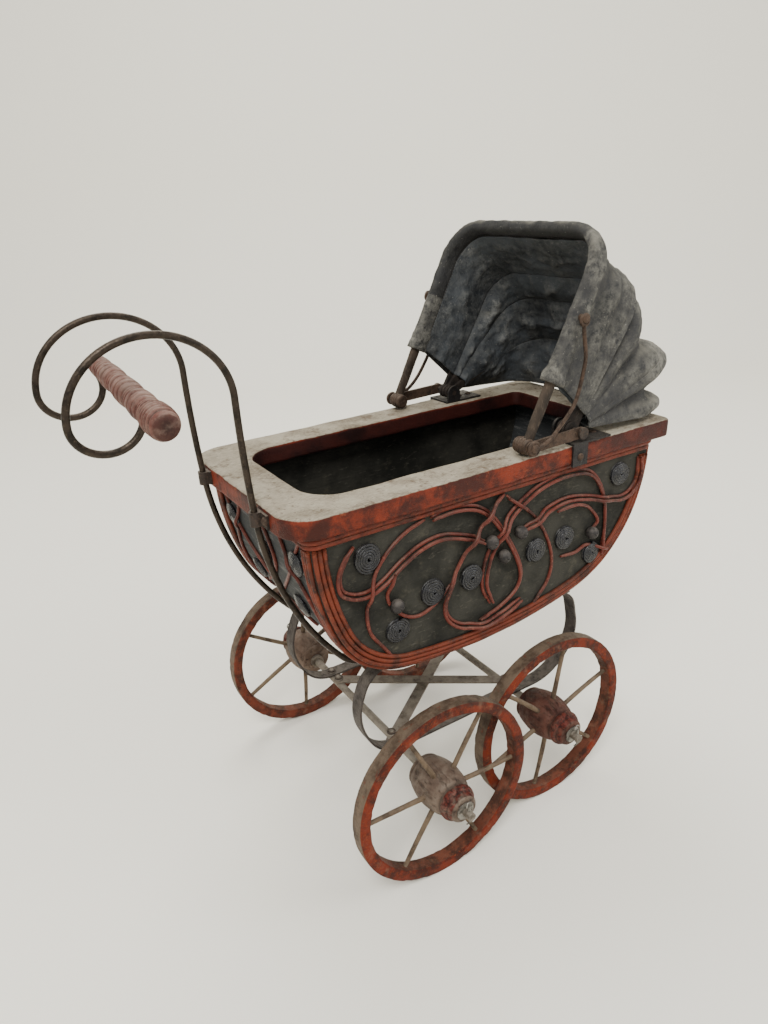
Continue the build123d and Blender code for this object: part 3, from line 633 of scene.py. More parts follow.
def arc_from(p, tangent, q, n):
    """Points of the arc that leaves p along tangent and ends at q."""
    p, q, t = np.array(p, float), np.array(q, float), unit(np.array(tangent, float))
    d = q - p
    nrm = np.array([-t[1], t[0]])
    k = np.dot(d, nrm)
    if abs(k) < 1e-6:
        pts = np.array([p + d * i / n for i in range(n + 1)])
        return pts, t
    r = np.dot(d, d) / (2 * k)
    c = p + nrm * r
    a0 = math.atan2(*(p - c)[::-1])
    a1 = math.atan2(*(q - c)[::-1])
    turn = a1 - a0
    while r > 0 and turn < 0:
        turn += TAU
    while r < 0 and turn > 0:
        turn -= TAU
    ang = a0 + turn * np.arange(n + 1) / n
    pts = c + abs(r) * np.column_stack([np.cos(ang), np.sin(ang)])
    end = np.array([-math.sin(ang[-1]), math.cos(ang[-1])]) * (1 if r > 0 else -1)
    return pts, end


tub_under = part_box("tub_skin")[1].z * 1000
keel, t1 = arc_from((0, 153), (1, 0), (90, 164), 18)
bilge, t2 = arc_from(keel[-1], t1, (150, 210), 18)
foot, t3 = arc_from(bilge[-1], t2, (164, tub_under), 14)
keel_l, _ = arc_from((0, 153), (-1, 0), (-60, 157), 12)
head, h1 = arc_from((-60, 157), (-60, 8), (-110, 195), 18)
brow, _ = arc_from(head[-1], h1, (-124, tub_under), 16)
OUTLINE = np.vstack([brow[::-1], head[::-1][1:], keel_l[::-1][1:], keel[1:], bilge[1:], foot[1:]])
OUT_T = unit(np.gradient(OUTLINE, axis=0))
OUT_N = np.column_stack([OUT_T[:, 1], -OUT_T[:, 0]])


def along_outline(inset, y):
    p = OUTLINE - OUT_N * inset
    return np.column_stack([p[:, 0], np.full(len(p), y), p[:, 1]])


REED_TOP = 261.5


def trimmed(path):
    return even(path[path[:, 2] < REED_TOP], 3.0)


for side, sgn in (("right", -1), ("left", 1)):
    band = Shell()
    face = sgn * TUB_Y
    for k, inset in enumerate((1.7, 4.9, 8.1)):
        path = trimmed(along_outline(inset, face + sgn * (1.4 if k else 1.2)))
        wob = np.array([0.25 * noise.noise(Vector((i * 0.11, k * 7.3, sgn))) for i in range(len(path))])
        path[:, 1] += wob
        path[:, 2] += wob[::-1] * 0.8
        r = 1.55 + np.array([0.14 * noise.noise(Vector((i * 0.21, k * 3.1, 5))) for i in range(len(path))])
        tube(band, path, r, 10, up=(0, 1, 0))
    for k, y in enumerate((73.6, 70.4, 67.2)):
        path = trimmed(along_outline(-1.3, sgn * y))
        wob = np.array([0.25 * noise.noise(Vector((i * 0.13, k * 5.3, 9 + sgn))) for i in range(len(path))])
        path[:, 1] += wob
        r = 1.55 + np.array([0.14 * noise.noise(Vector((i * 0.19, k * 4.1, 8))) for i in range(len(path))])
        tube(band, path, r, 10, up=(0, 1, 0))
    band.build(f"edge_reeds_{side}_round", M_REED, "body", [f"edge_reeds_{side}"])

# moulding under the rim: two reeds
mould = Shell()
for z, out_, r in ((267.6, 2.3, 2.3), (263.3, 1.6, 1.7)):
    loop = rounded_loop(-125.5, 165.5, -TUB_Y - 1, TUB_Y + 1, (6, 6), 40, 8)
    path = np.column_stack([loop[:, 0], loop[:, 1], np.full(len(loop), z)])
    t = unit(np.roll(path, -1, 0) - np.roll(path, 1, 0))
    nrm = np.column_stack([t[:, 1], -t[:, 0], np.zeros(len(t))])
    wob = np.array([[0, 0, 0.3 * noise.noise(Vector((p[0] * 0.03, p[1] * 0.03, z)))] for p in path])
    tube(mould, path + nrm * (out_ - 1) + wob, r, 12, closed=True, up=(0, 0, 1))
mould.build("rim_moulding_reeds", M_RED, "body", ["rim_moulding"])

# ---------------------------------------------------------------- scrolls, coils and beads
SCROLLS = [
    ([(-97, 257), (-103, 250), (-108, 240), (-107, 229), (-98, 223), (-87, 222), (-75, 227), (-63, 235), (-48, 242),
      (-30, 244), (-8, 237), (4, 230)], 2),
    ([(-44, 260), (-59, 255), (-72, 246), (-82, 234), (-88, 220), (-90, 206), (-88, 192), (-79, 178)], 1),
    ([(-70, 231), (-74, 220), (-74, 212), (-71, 206), (-62, 196), (-50, 192), (-36, 197), (-24, 207)], 1),
    ([(-40, 260), (-20, 261), (-3, 257), (9, 248), (19, 235), (28, 220), (35, 205), (37, 193), (32, 183), (18, 175),
      (0, 170)], 2),
    ([(10, 181), (4, 197), (7, 215), (16, 231), (28, 244), (44, 254), (58, 259), (74, 261), (92, 260), (104, 255),
      (113, 244), (119, 229), (121, 212), (120, 194)], 2),
    ([(20, 261), (9, 252), (-4, 238), (-16, 222), (-25, 208), (-30, 194), (-27, 181), (-15, 171), (2, 168), (20, 169),
      (38, 174)], 2),
    ([(20, 261), (32, 251), (48, 238), (61, 219), (68, 198), (65, 181), (53, 167)], 1),
    ([(38, 229), (50, 233), (64, 239), (84, 241), (114, 234), (136, 228), (149, 232), (155, 243), (154, 257)], 2),
    ([(68, 236), (88, 236), (104, 228), (113, 216), (107, 208)], 1),
    ([(77, 196), (92, 195), (103, 198), (116, 193)], 1),
]
BEADS = [(-69, 207), (9, 229), (20, 215), (35, 229), (106, 208)]
COILS = [(-87, 246), (-39, 206), (-68, 187), (-7, 206), (52, 209), (80, 211), (134, 248), (108, 190)]
SCROLL_R = 1.25


def lifts(paths):
    """Heights of each path off the panel, so that a later reed climbs over the ones it crosses."""
    done = []
    for path in paths:
        lift = np.full(len(path), SCROLL_R)
        for other, other_lift in done:
            d = np.linalg.norm(path[:, None, :] - other[None, :, :], axis=2)
            near = d.min(1)
            over = other_lift[d.argmin(1)] + 2 * SCROLL_R * 0.96
            k = np.clip(1 - (near - 1.2) / 8.0, 0, 1)
            k = k * k * (3 - 2 * k)
            lift = np.maximum(lift, SCROLL_R + (over - SCROLL_R) * k)
        soft = np.convolve(np.pad(lift, 3, mode="edge"), np.ones(7) / 7, "valid")
        done.append((path, np.maximum(lift * 0.6 + soft * 0.4, SCROLL_R)))
    return [l for _, l in done]


def doubled(route, count):
    flat = even(np.column_stack([smooth_path(route, 10), np.zeros(len(smooth_path(route, 10)))]), 1.6)[:, :2]
    if count == 1:
        return [flat]
    t = unit(np.gradient(flat, axis=0))
    nrm = np.column_stack([-t[:, 1], t[:, 0]])
    gap = SCROLL_R * 1.02 * np.clip(np.minimum(np.arange(len(flat)), np.arange(len(flat))[::-1]) / 5, 0.55, 1)
    return [flat + nrm * gap[:, None], flat - nrm * gap[:, None]]


def reach_edging(path):
    """Carry an end that comes near the edging on until it tucks in beside it."""
    def run_on(tip, back):
        step = unit((tip - back)[None])[0]
        added, q = [], tip
        for _ in range(9):
            q = q + step * 1.6
            near = np.min(np.linalg.norm(OUTLINE - q, axis=1))
            added.append(q)
            if near < 8.6:
                return added
        return []
    start_gap = np.min(np.linalg.norm(OUTLINE - path[0], axis=1))
    end_gap = np.min(np.linalg.norm(OUTLINE - path[-1], axis=1))
    before = run_on(path[0], path[2]) if 9 < start_gap < 20 else []
    after = run_on(path[-1], path[-3]) if 9 < end_gap < 20 else []
    return np.vstack([np.array(before[::-1]).reshape(-1, 2), path, np.array(after).reshape(-1, 2)])


def coil(shell, centre_p, u, v, w, r=10.0, turns=5.0, wire=1.12, dome=1.9, seed=0):
    """A flat spiral of cord, a little domed. u, v span it and w points out."""
    n = int(turns * 30)
    ang = np.linspace(0.6, turns * TAU, n)
    rad = 1.0 + (r - wire - 1.0) * ang / (turns * TAU)
    rad = rad + 0.18 * np.array([noise.noise(Vector((a * 0.6, seed, 0))) for a in ang])
    squash = 1 + 0.05 * math.sin(seed * 1.7)
    lift = wire + dome * (1 - (rad / r) ** 2) + 0.22 * np.array([noise.noise(Vector((a * 0.9, seed, 4))) for a in ang])
    turn = seed * 1.3
    x, y = rad * np.cos(ang + turn) * squash, rad * np.sin(ang + turn) / squash
    path = np.asarray(centre_p) + x[:, None] * u + y[:, None] * v + lift[:, None] * w
    tube(shell, path, wire, 8)
    # painted shade: a near-black backing disc (gap attribute 1) under the cord, seen between the turns
    back = [(0.0, 0.2), (r * 0.6, 0.2), (r - 1.2, 0.3), (r - 0.9, -0.4)]
    prof = [(dome * (1 - (q / r) ** 2) + 0.3, q + 1e-3) for q, _ in back[:3]]
    prof.append((-0.4, r - 1.0))
    lathe(shell, prof, centre_p, w, 32, gap=1.0)


def bead(shell, centre_p, w, r=4.9, seed=0):
    prof = [(r * 0.92 * math.sin(a) + r * 0.86, r * math.cos(a) + 1e-3) for a in np.linspace(-1.35, math.pi / 2, 16)]
    lathe(shell, prof, centre_p, w, 28, squash=lambda k, a: 1 + 0.03 * math.sin(2 * a + seed))
    # the small cap at the bead's hole is darkened through the gap attribute: painted shade in the hole
    lathe(shell, [(r * 1.72, 0.9), (r * 1.86, 0.75), (r * 1.9, 1e-3)], centre_p, w, 12, gap=0.4)


for side, sgn in (("right", -1), ("left", 1)):
    face = sgn * TUB_Y
    flat_paths = []
    for route, count in SCROLLS:
        flat_paths += [reach_edging(path) for path in doubled(route, count)]
    shell = Shell()
    for path, lift in zip(flat_paths, lifts(flat_paths)):
        xyz = np.column_stack([path[:, 0], face + sgn * lift, path[:, 1]])
        thin = 1 - 0.3 * np.clip(1 - np.minimum(np.arange(len(path)), np.arange(len(path))[::-1]) / 4, 0, 1)
        tube(shell, xyz, SCROLL_R * thin, 10)
    shell.build(f"scroll_reeds_{side}_round", M_SCROLL, "body", [f"scroll_reeds_{side}"])
    shell = Shell()
    for k, (x, z) in enumerate(COILS):
        coil(shell, (x, face, z), np.array([1.0, 0, 0]), np.array([0, 0, 1.0]), np.array([0, sgn, 0]),
             r=(10.6, 10.4, 9.6, 10.2, 9.8, 9.8, 10.0, 9.0)[k], seed=k + sgn)
    shell.build(f"coil_discs_{side}_cord", M_COIL, "body", [f"coil_discs_{side}"])
    shell = Shell()
    for k, (x, z) in enumerate(BEADS):
        bead(shell, (x, face, z), np.array([0, sgn, 0]), seed=k)
    shell.build(f"beads_{side}_turned", M_BEAD, "body", [f"beads_{side}"])


def wall_point(y, z, lift, end=-1):
    """A point on the tub's end wall at that y and z, standing off by lift."""
    half = OUTLINE[: len(OUTLINE) // 2] if end < 0 else OUTLINE[len(OUTLINE) // 2:]
    nrm = OUT_N[: len(OUTLINE) // 2] if end < 0 else OUT_N[len(OUTLINE) // 2:]
    order = np.argsort(half[:, 1])
    x = np.interp(z, half[order, 1], half[order, 0])
    nx = np.interp(z, half[order, 1], nrm[order, 0])
    nz = np.interp(z, half[order, 1], nrm[order, 1])
    return np.array([x + nx * lift, y, z + nz * lift]), unit(np.array([nx, 0, nz]))


END_REEDS = [
    [(-62, 262), (-50, 246), (-34, 228), (-14, 210), (6, 194), (24, 178)],
    [(62, 262), (50, 246), (34, 228), (14, 210), (-6, 194), (-24, 178)],
    [(-30, 262), (-40, 244), (-52, 226), (-60, 208), (-60, 190), (-50, 176)],
    [(30, 262), (40, 244), (52, 226), (60, 208), (60, 190), (50, 176)],
    [(0, 262), (-12, 246), (-14, 230), (-4, 216), (10, 206)],
]
END_COILS = [(-54, 245, 9.6), (50, 243, 9.6), (0, 232, 9.6), (-34, 203, 9.4), (34, 203, 9.4), (0, 186, 8.6)]
for end, name in ((-1, "handle"), (1, "hood")):
    shell = Shell()
    flats = [even(np.column_stack([smooth_path(r, 10), np.zeros(len(smooth_path(r, 10)))]), 1.8)[:, :2] for r in END_REEDS]
    for path, lift in zip(flats, lifts(flats)):
        xyz = np.array([wall_point(y, z, h, end)[0] for (y, z), h in zip(path, lift)])
        tube(shell, xyz, SCROLL_R, 10)
    shell.build(f"end_reeds_{name}", M_SCROLL, "body")
    shell = Shell()
    for k, (y, z, r) in enumerate(END_COILS):
        p, nrm = wall_point(y, z, 0, end)
        u = np.array([0, 1.0, 0])
        coil(shell, p, u, unit(np.cross(nrm, u)), nrm, r=r, seed=k + 11)
    shell.build(f"end_coils_{name}", M_COIL, "body")

# ---------------------------------------------------------------- grip and handle fittings
low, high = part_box("grip")
gx, gz = (low.x + high.x) / 2 * 1000 - MID, 359.0
GRIP_RISE = 0.068
knots = [(-84, 6.0), (-82.4, 7.8), (-78, 8.7), (-72, 9.0), (-66, 8.7), (-61, 7.9), (-57.5, 7.0), (-50, 7.8), (-45, 8.0),
         (-37, 7.5), (-31, 6.9), (-23, 7.5), (-16, 7.7), (-7, 7.2), (1, 6.7), (9, 7.2), (16, 7.2), (24, 6.8), (31, 6.3),
         (38, 6.5), (44, 6.3), (50, 6.0), (54, 5.6), (56, 4.2)]
ys = np.linspace(-84, 56, 260)
rs = np.interp(ys, [k[0] for k in knots], [k[1] for k in knots])
rs = np.convolve(np.pad(rs, 3, mode="edge"), np.ones(7) / 7, "valid")
groove = np.zeros(len(ys))
for c0 in list(np.arange(-80, -62, 3.4)) + [-58.5, -55.5, -50, -43, -36.5, -33, -29.5, -23, -16.5, -9, -2, 1.5, 5, 12, 19,
                                            26, 30, 33.5, 40, 46, 51]:
    groove = np.maximum(groove, np.exp(-((ys - c0) / 0.75) ** 2))
prof = [(-84.3, 1e-3), (-84.3, 3.5)] + list(zip(ys, rs - 0.95 * groove)) + [(56.2, 2.5), (56.2, 1e-3)]
# painted shade: the gap attribute darkens the grip's end face and the wood next to it at y −84
grip_end_shade = np.concatenate([[0.75, 0.6], np.exp(-((ys + 84) / 1.6) ** 2) * 0.5, [0, 0]])
# e_attr is 1 in the grooves, where the grip's edge colour darkens the wood
e_attr = np.concatenate([[0, 0], groove, [0, 0]])
shell = Shell()
lathe(shell, prof, (gx, 0, gz), (0, 1, GRIP_RISE), segs=56, edge=e_attr, gap=grip_end_shade)
shell.build("grip_turned", M_GRIP, "body", ["grip"], wobble=(0.3, 9, 2))


def dome_head(shell, at, axis, r, h, slot_cut=True, **attrs):
    """A round screw or rivet head standing on at, pointing along axis."""
    prof = [(0, r)] + [(h * math.sin(a), r * math.cos(a) + 1e-3) for a in np.linspace(0.15, math.pi / 2, 8)]
    lathe(shell, prof, at, axis, 20, **attrs)
    return shell


screws = Shell()
cz = centre("clip_screws").z * 1000
for y in (-52, 52):
    dome_head(screws, (RX0 - 1.4, y, cz), (-1, 0, 0), 3.0, 1.9)
screws.build("clip_screw_heads", M_RUST, "body", ["clip_screws"])

# ---------------------------------------------------------------- undercarriage
rv = Shell()
for node_name in ("spring_rivets", "brace_rivets"):
    co = np.array([v.co for v in nodes[node_name].data.vertices]) * 1000
    co[:, 0] -= MID
    tops = co[co[:, 2] > co[:, 2].max() - 8]
    seen = []
    for p in tops:
        for q in seen:
            if np.hypot(p[0] - q[0][0], p[1] - q[0][1]) < 9:
                q.append(p)
                break
        else:
            seen.append([p])
    for group in seen:
        g = np.array(group)
        mid = (g.min(0) + g.max(0)) / 2
        dome_head(rv, (mid[0], mid[1], g[:, 2].max() - 2.3), (0, 0, 1), 3.9, 2.6)
rv.build("rivet_heads", M_AXLE, "body", [])

pins = Shell()
for node_name, x_sign in (("axle_handle", -1), ("axle_hood", 1)):
    lo_a, hi_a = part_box(node_name)
    ax, az = centre(node_name).x * 1000 - MID, centre(node_name).z * 1000
    for sgn, tip in ((-1, lo_a.y * 1000), (1, hi_a.y * 1000)):
        y = tip - sgn * 3.0
        for k in (-1, 1):
            pts = []
            for t in np.linspace(0, 1, 26):
                z = az - 7.2 + 13.6 * t
                spread = 0.55 + 1.5 * max(0, 0.28 - t) / 0.28
                turn = 2.4 * math.pi * t
                pts.append((ax + k * spread * math.cos(turn), y + k * 0.5 * math.sin(turn) * (1 if t > 0.2 else 2), z))
            tube(pins, np.array(pts), 0.55, 7)
        ring = [(ax + 2.3 * math.sin(a), y + 0.4 * math.cos(2 * a), az + 8.2 - 2.3 * math.cos(a)) for a in np.linspace(0.25, 6.0, 28)]
        tube(pins, np.array(ring), 0.55, 7)
pins.build("twisted_cotters", M_WIRE, "body", ["cotter_pins"])

# ---------------------------------------------------------------- wheels
for wheel in ("handle_right", "handle_left", "hood_right", "hood_left"):
    c = centre("wheel_rim_" + wheel)
    cx, cy, cz = c.x * 1000 - MID, c.y * 1000, c.z * 1000
    out_dir = -1 if cy < 0 else 1
    body = "wheel_" + wheel
    seed = len(wheel) * 1.7 + cy
    ring = rounded([(0, 61.5), (5.5, 61.5), (5.5, 70), (0, 70)], 1.5, 4)
    half = [(a, r) for a, r in ring[1:-1]]
    dense = []
    for (a0, r0), (a1, r1) in zip([(0, 61.5)] + half, half + [(0, 70)]):
        steps = max(1, int(math.hypot(a1 - a0, r1 - r0) / 1.4))
        dense += [(a0 + (a1 - a0) * i / steps, r0 + (r1 - r0) * i / steps) for i in range(steps)]
    right = dense + [(0, 70)]
    left = [(-a, r) for a, r in right[1:-1]][::-1]
    loop = right + left
    n_seg = 180
    verts, edge_a, tread_a = [], [], []
    for i in range(n_seg):
        ang = TAU * i / n_seg
        dr = 0.35 * noise.noise(Vector((2.2 * math.cos(ang), 2.2 * math.sin(ang), seed)))
        dy = 0.5 * noise.noise(Vector((0.8 * math.cos(ang), 0.8 * math.sin(ang), seed + 9)))
        for a, r in loop:
            chip = 0.0
            at_edge = abs(a) > 3.9 and (r > 68.4 or r < 63.0)
            if at_edge:
                chip = 0.5 * max(0, noise.noise(Vector((a * 0.1, 16 * math.cos(ang), 16 * math.sin(ang) + seed))))
            pull = (r - 65.75) / 4.25
            verts.append((cx + (r + min(dr, 0.0) - chip * pull) * math.cos(ang), cy + (a - chip * np.sign(a)) + dy,
                          cz + (r + min(dr, 0.0) - chip * pull) * math.sin(ang)))
            edge_a.append(1.0 if at_edge else 0.0)
            tread_a.append(1.0 if r > 69.3 and abs(a) < 4.8 else (0.46 if r < 62.1 and abs(a) < 4.8 else (0.4 if a * out_dir < -4.9 else 0.0)))
    shell = Shell()
    shell.add(verts, grid(n_seg, len(loop), wrap_n=True, wrap_m=True, flip=True), edge=edge_a, tread=tread_a)
    shell.build(f"wheel_rim_{wheel}_worn", M_WHEEL, body, [f"wheel_rim_{wheel}"])

    hub = rounded([(-24, 3.4), (-24, 12.0), (-22.8, 13.2), (-21.2, 13.4), (-20.4, 12.6), (-19.6, 13.9)], 0.5, 2)
    hub += [(t, 13.9 + 3.2 * math.sin(math.pi * min(1, (t + 20) / 31)) ** 0.9) for t in np.linspace(-19, 9, 26)]
    hub += rounded([(9.6, 14.3), (10.8, 13.6), (11.6, 11.6), (13.0, 11.6), (13.9, 13.2), (16.0, 13.5), (18.2, 12.8), (18.9, 11.2),
                    (20.0, 11.0), (21.0, 10.8), (23.2, 10.1), (24, 9.0), (24, 5.0), (22.8, 4.5), (22.8, 3.4)], 0.4, 2)
    along = np.array([a for a, _ in hub])
    ring_a = ((along > 13.2) & (along < 23.0)).astype(float)
    # painted shade: the grooves and the axle bore get the gap attribute
    hub_recess_shade = np.array([1.0 if (11.3 < a < 13.3 or 18.7 < a < 19.7 or r < 4.8) else 0.0 for a, r in hub])
    shell = Shell()
    lathe(shell, hub, (cx, cy, cz), (0, out_dir, 0), 60, ring=ring_a, gap=hub_recess_shade * 0.5,
          squash=lambda k, a: 1 + 0.012 * noise.noise(Vector((math.cos(a) * 3, math.sin(a) * 3, k * 0.2 + seed))))
    shell.build(f"wheel_hub_{wheel}_turned", M_HUB[wheel], body, [f"wheel_hub_{wheel}"])

    co = np.array([v.co for v in nodes["wheel_spokes_" + wheel].data.vertices]) * 1000
    co[:, 0] -= MID
    ang = np.arctan2(co[:, 2] - cz, co[:, 0] - cx)
    far = np.hypot(co[:, 2] - cz, co[:, 0] - cx) > 60
    phase = math.degrees(np.angle(np.mean(np.exp(1j * 6 * ang[far])))) / 6
    shell = Shell()
    for k in range(6):
        a = math.radians(phase + 60 * k) + 0.02 * noise.noise(Vector((k * 3.1, seed, 2)))
        bend = 1.6 * noise.noise(Vector((k * 1.9, seed, 6)))
        pts, rad = [], []
        for t in np.linspace(0, 1, 14):
            r = 13 + 49.5 * t
            side = bend * math.sin(math.pi * t)
            pts.append((cx + r * math.cos(a) - side * math.sin(a), cy + 0.5 * bend * math.sin(2 * t), cz + r * math.sin(a) + side * math.cos(a)))
            rad.append(1.95 - 0.35 * t + 0.12 * noise.noise(Vector((t * 6, k, seed))))
        tube(shell, np.array(pts), np.array(rad), 10)
    shell.build(f"wheel_spokes_{wheel}_sticks", M_SPOKE, body, [f"wheel_spokes_{wheel}"])

# ---------------------------------------------------------------- hood
PIV = np.array([84.0, 292.0])
FOOT = np.array([38.0, 291.0])
TOP = np.array([105.0, 423.5])
FRONT_LEN = float(np.linalg.norm(TOP - FOOT))
FRONT_DIR = (TOP - FOOT) / FRONT_LEN
BACK = np.array([FRONT_DIR[1], -FRONT_DIR[0]])
LEG, CORNER, BAR = 46, 16, 34
CORNER_R = 31.0


def hoop(half, length, start, corner=CORNER_R):
    """(y, s) round a bow from the near leg to the far one, its outward normals, and how far each is from the legs."""
    pts, nrm, topness = [], [], []
    for i in range(LEG):
        t = i / LEG
        pts.append((-half, start + (length - corner - start) * t))
        nrm.append((-1, 0))
        topness.append(0)
    for i in range(CORNER):
        a = math.pi - math.pi / 2 * i / CORNER
        pts.append((-half + corner + corner * math.cos(a), length - corner + corner * math.sin(a)))
        nrm.append((math.cos(a), math.sin(a)))
        topness.append(i / CORNER)
    for i in range(BAR // 2 + 1):
        pts.append((-half + corner + (half - corner) * i / (BAR // 2), length))
        nrm.append((0, 1))
        topness.append(1)
    pts, nrm = np.array(pts, float), np.array(nrm, float)
    far_p, far_n = pts[:-1][::-1] * [-1, 1], nrm[:-1][::-1] * [-1, 1]
    tn = np.array(topness)
    return np.vstack([pts, far_p]), np.vstack([nrm, far_n]), np.concatenate([tn, tn[:-1][::-1]])


def smoothstep(t):
    t = np.clip(t, 0, 1)
    return t * t * (3 - 2 * t)


def on_front(y, s, back):
    """A point on the front bow's plane, moved back by so much."""
    p = FOOT + FRONT_DIR * s + BACK * back
    return np.array([p[0], y, p[1]])


# fold profiles: (share of the way through the gore, outward shift) over the top and on the sides
GORES = [
    ("front", "bow_front", "bow_second",
     [(0, 0), (0.1, -1.5), (0.32, -4.5), (0.55, -4.5), (0.8, -1.5), (0.92, 0.8), (1, 1.0)],
     [(0, 0), (0.12, -1.5), (0.3, -3), (0.48, 1.0), (0.58, 1.5), (0.75, -2), (0.9, 0.5), (1, 1.0)]),
    ("second", "bow_second", "bow_third",
     [(0, 1.0), (0.25, 3.0), (0.5, 1.0), (0.8, 2.5), (1, 1.0)],
     [(0, 1.0), (0.2, 2.6), (0.5, -3.0), (0.8, 1.8), (1, 1.0)]),
    ("third", "bow_third", "bow_rear",
     [(0, 1.0), (0.14, 0.5), (0.27, -1), (0.38, -7), (0.5, -11), (0.62, -9), (0.75, -1), (0.87, 6), (1, 9)],
     [(0, 1.0), (0.12, 0.5), (0.3, -3), (0.42, -4), (0.6, 0.5), (0.8, 1.5), (1, 1.0)]),
    ("rear", "bow_rear", "body",
     [(0, 9), (0.1, 12.5), (0.2, 14), (0.3, 12), (0.39, 5), (0.47, -4), (0.55, -8), (0.64, -5), (0.74, 6), (0.83, 11), (0.92, 10), (1, 0)],
     [(0, 1.0), (0.2, 2.5), (0.42, -5), (0.6, -2), (0.8, 1.5), (1, 1.5)]),
]
BOWS = {"second": (60.0, 112.0), "third": (47.0, 103.0), "rear": (23.0, 98.0), "rim": (-3.0, 93.0)}
COVER_HALF = 77.6
COVER_LIFT = 2.2
inner_half = {"rim": 77.0}


def bow_hoop(name):
    angle, length = BOWS[name]
    pts, nrm, tn = hoop(inner_half.get(name, COVER_HALF), length + COVER_LIFT, 13.0)
    a = math.radians(angle)
    d3 = np.array([math.cos(a), 0, math.sin(a)])
    base = np.array([PIV[0], 0, PIV[1]]) + pts[:, 1:] * d3 + pts[:, :1] * np.array([0, 1.0, 0])
    n3 = nrm[:, 1:] * d3 + nrm[:, :1] * np.array([0, 1.0, 0])
    return base, n3, tn, pts[:, 1] / length


pts, nrm, tn = hoop(80.2, FRONT_LEN - 0.2, 46.0)
front_base = np.array([on_front(y, s, 6.2) for y, s in pts])
front_n = np.array([[n[1] * FRONT_DIR[0], n[0], n[1] * FRONT_DIR[1]] for n in nrm])
hoops = {"front": (front_base, front_n, tn, np.clip((pts[:, 1] - 20) / FRONT_LEN, 0, 1))}
for b in BOWS:
    hoops[b] = bow_hoop(b)
STEPS = {"front": 40, "second": 24, "third": 40, "rear": 36}
order = ["front", "second", "third", "rear", "rim"]
for g, (name, body_a, body_b, over, sides) in enumerate(GORES):
    a, b = hoops[order[g]], hoops[order[g + 1]]
    n = STEPS[name]
    m = len(a[0])
    ts = np.linspace(0, 1, n)
    dense_t = np.linspace(0, 1, 200)
    fold_top = np.interp(ts, *zip(*over))
    fold_side = np.interp(ts, *zip(*sides))
    for _ in range(2):
        fold_top[1:-1] = (fold_top[:-2] + 2 * fold_top[1:-1] + fold_top[2:]) / 4
        fold_side[1:-1] = (fold_side[:-2] + 2 * fold_side[1:-1] + fold_side[2:]) / 4
    verts = np.zeros((n, m, 3))
    ridge = np.zeros((n, m))
    gap = np.zeros((n, m))
    for i, t in enumerate(ts):
        base = a[0] * (1 - t) + b[0] * t
        nn = unit(a[1] * (1 - t) + b[1] * t)
        tn = a[2]
        reach = a[3] * (1 - t) + b[3] * t
        reach = np.clip(reach, 0, 1)
        over_k = smoothstep(tn * 1.15)
        d = fold_top[i] * over_k + fold_side[i] * (1 - over_k) * smoothstep(reach * 1.3)
        soft = math.sin(math.pi * t) ** 0.6
        for j in range(m):
            q = Vector(base[j])
            lump = noise.fractal(q / 24, 0.9, 2.1, 3)
            crumple = noise.fractal(Vector((q.x / 9, q.y / 13, q.z / 9)), 0.8, 2.1, 3)
            big = 2.6 * lump * (0.35 + 0.65 * over_k[j]) + 0.9 * crumple
            verts[i, j] = base[j] + nn[j] * (d[j] + big * (0.25 + 0.75 * soft) * (0.3 + 0.7 * reach[j]))
            ridge[i, j] = d[j] * 0.5 + big * 0.8
        hang = max(0.0, fold_top[i]) if name == "third" else 0.0
        verts[i, :, 2] -= hang * 0.5 * over_k * math.sin(math.pi * t)
        # painted shade: gap is set where the cloth folds inward, over the top of the third and rear gores and on the
        # sides
        droop = smoothstep(-fold_top[i] / 14) if name in ("third", "rear") else 0
        gap[i] = droop * over_k * 0.75 + smoothstep(-fold_side[i] / 9) * (1 - over_k) * 0.4
    span = verts.reshape(-1, 3)
    rr = ridge.reshape(-1)
    rr = np.clip(0.45 + rr / 7, 0, 1)
    shell = Shell()
    shell.add(span, grid(n, m), ridge=rr, gap=gap.reshape(-1))
    obj = shell.build(f"hood_cloth_{name}", M_CLOTH, None, [f"hood_cover_{name}"])
    obj.data.update()
    solid = obj.modifiers.new("thickness", "SOLIDIFY")
    solid.thickness = 0.0009
    solid.offset = 0.0
    mid_a, mid_b = a[0][m // 2], b[0][m // 2]
    end = Vector(((mid_b[0] + MID) / 1000, 0, mid_b[2] / 1000))
    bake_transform(obj)

# inner lining, hanging in slack swags inside the bows
INNER = {"second": (60.0, 108.0, 71.4), "third": (47.0, 99.0, 67.4), "rear": (23.0, 94.0, 63.4), "rim": (-3.0, 88.0, 73.0)}
pts, nrm, tn = hoop(74.2, FRONT_LEN - 6.5, 46.0, 26.0)
inner_hoops = {"front": (np.array([on_front(y, s, 6.0) for y, s in pts]),
                         np.array([[q[1] * FRONT_DIR[0], q[0], q[1] * FRONT_DIR[1]] for q in nrm]), tn)}
for key, (angle, length, half) in INNER.items():
    pts, nrm, tn = hoop(half, length, 15.0, 26.0)
    d3 = np.array([math.cos(math.radians(angle)), 0, math.sin(math.radians(angle))])
    inner_hoops[key] = (np.array([PIV[0], 0, PIV[1]]) + pts[:, 1:] * d3 + pts[:, :1] * np.array([0, 1.0, 0]),
                        nrm[:, 1:] * d3 + nrm[:, :1] * np.array([0, 1.0, 0]), tn)
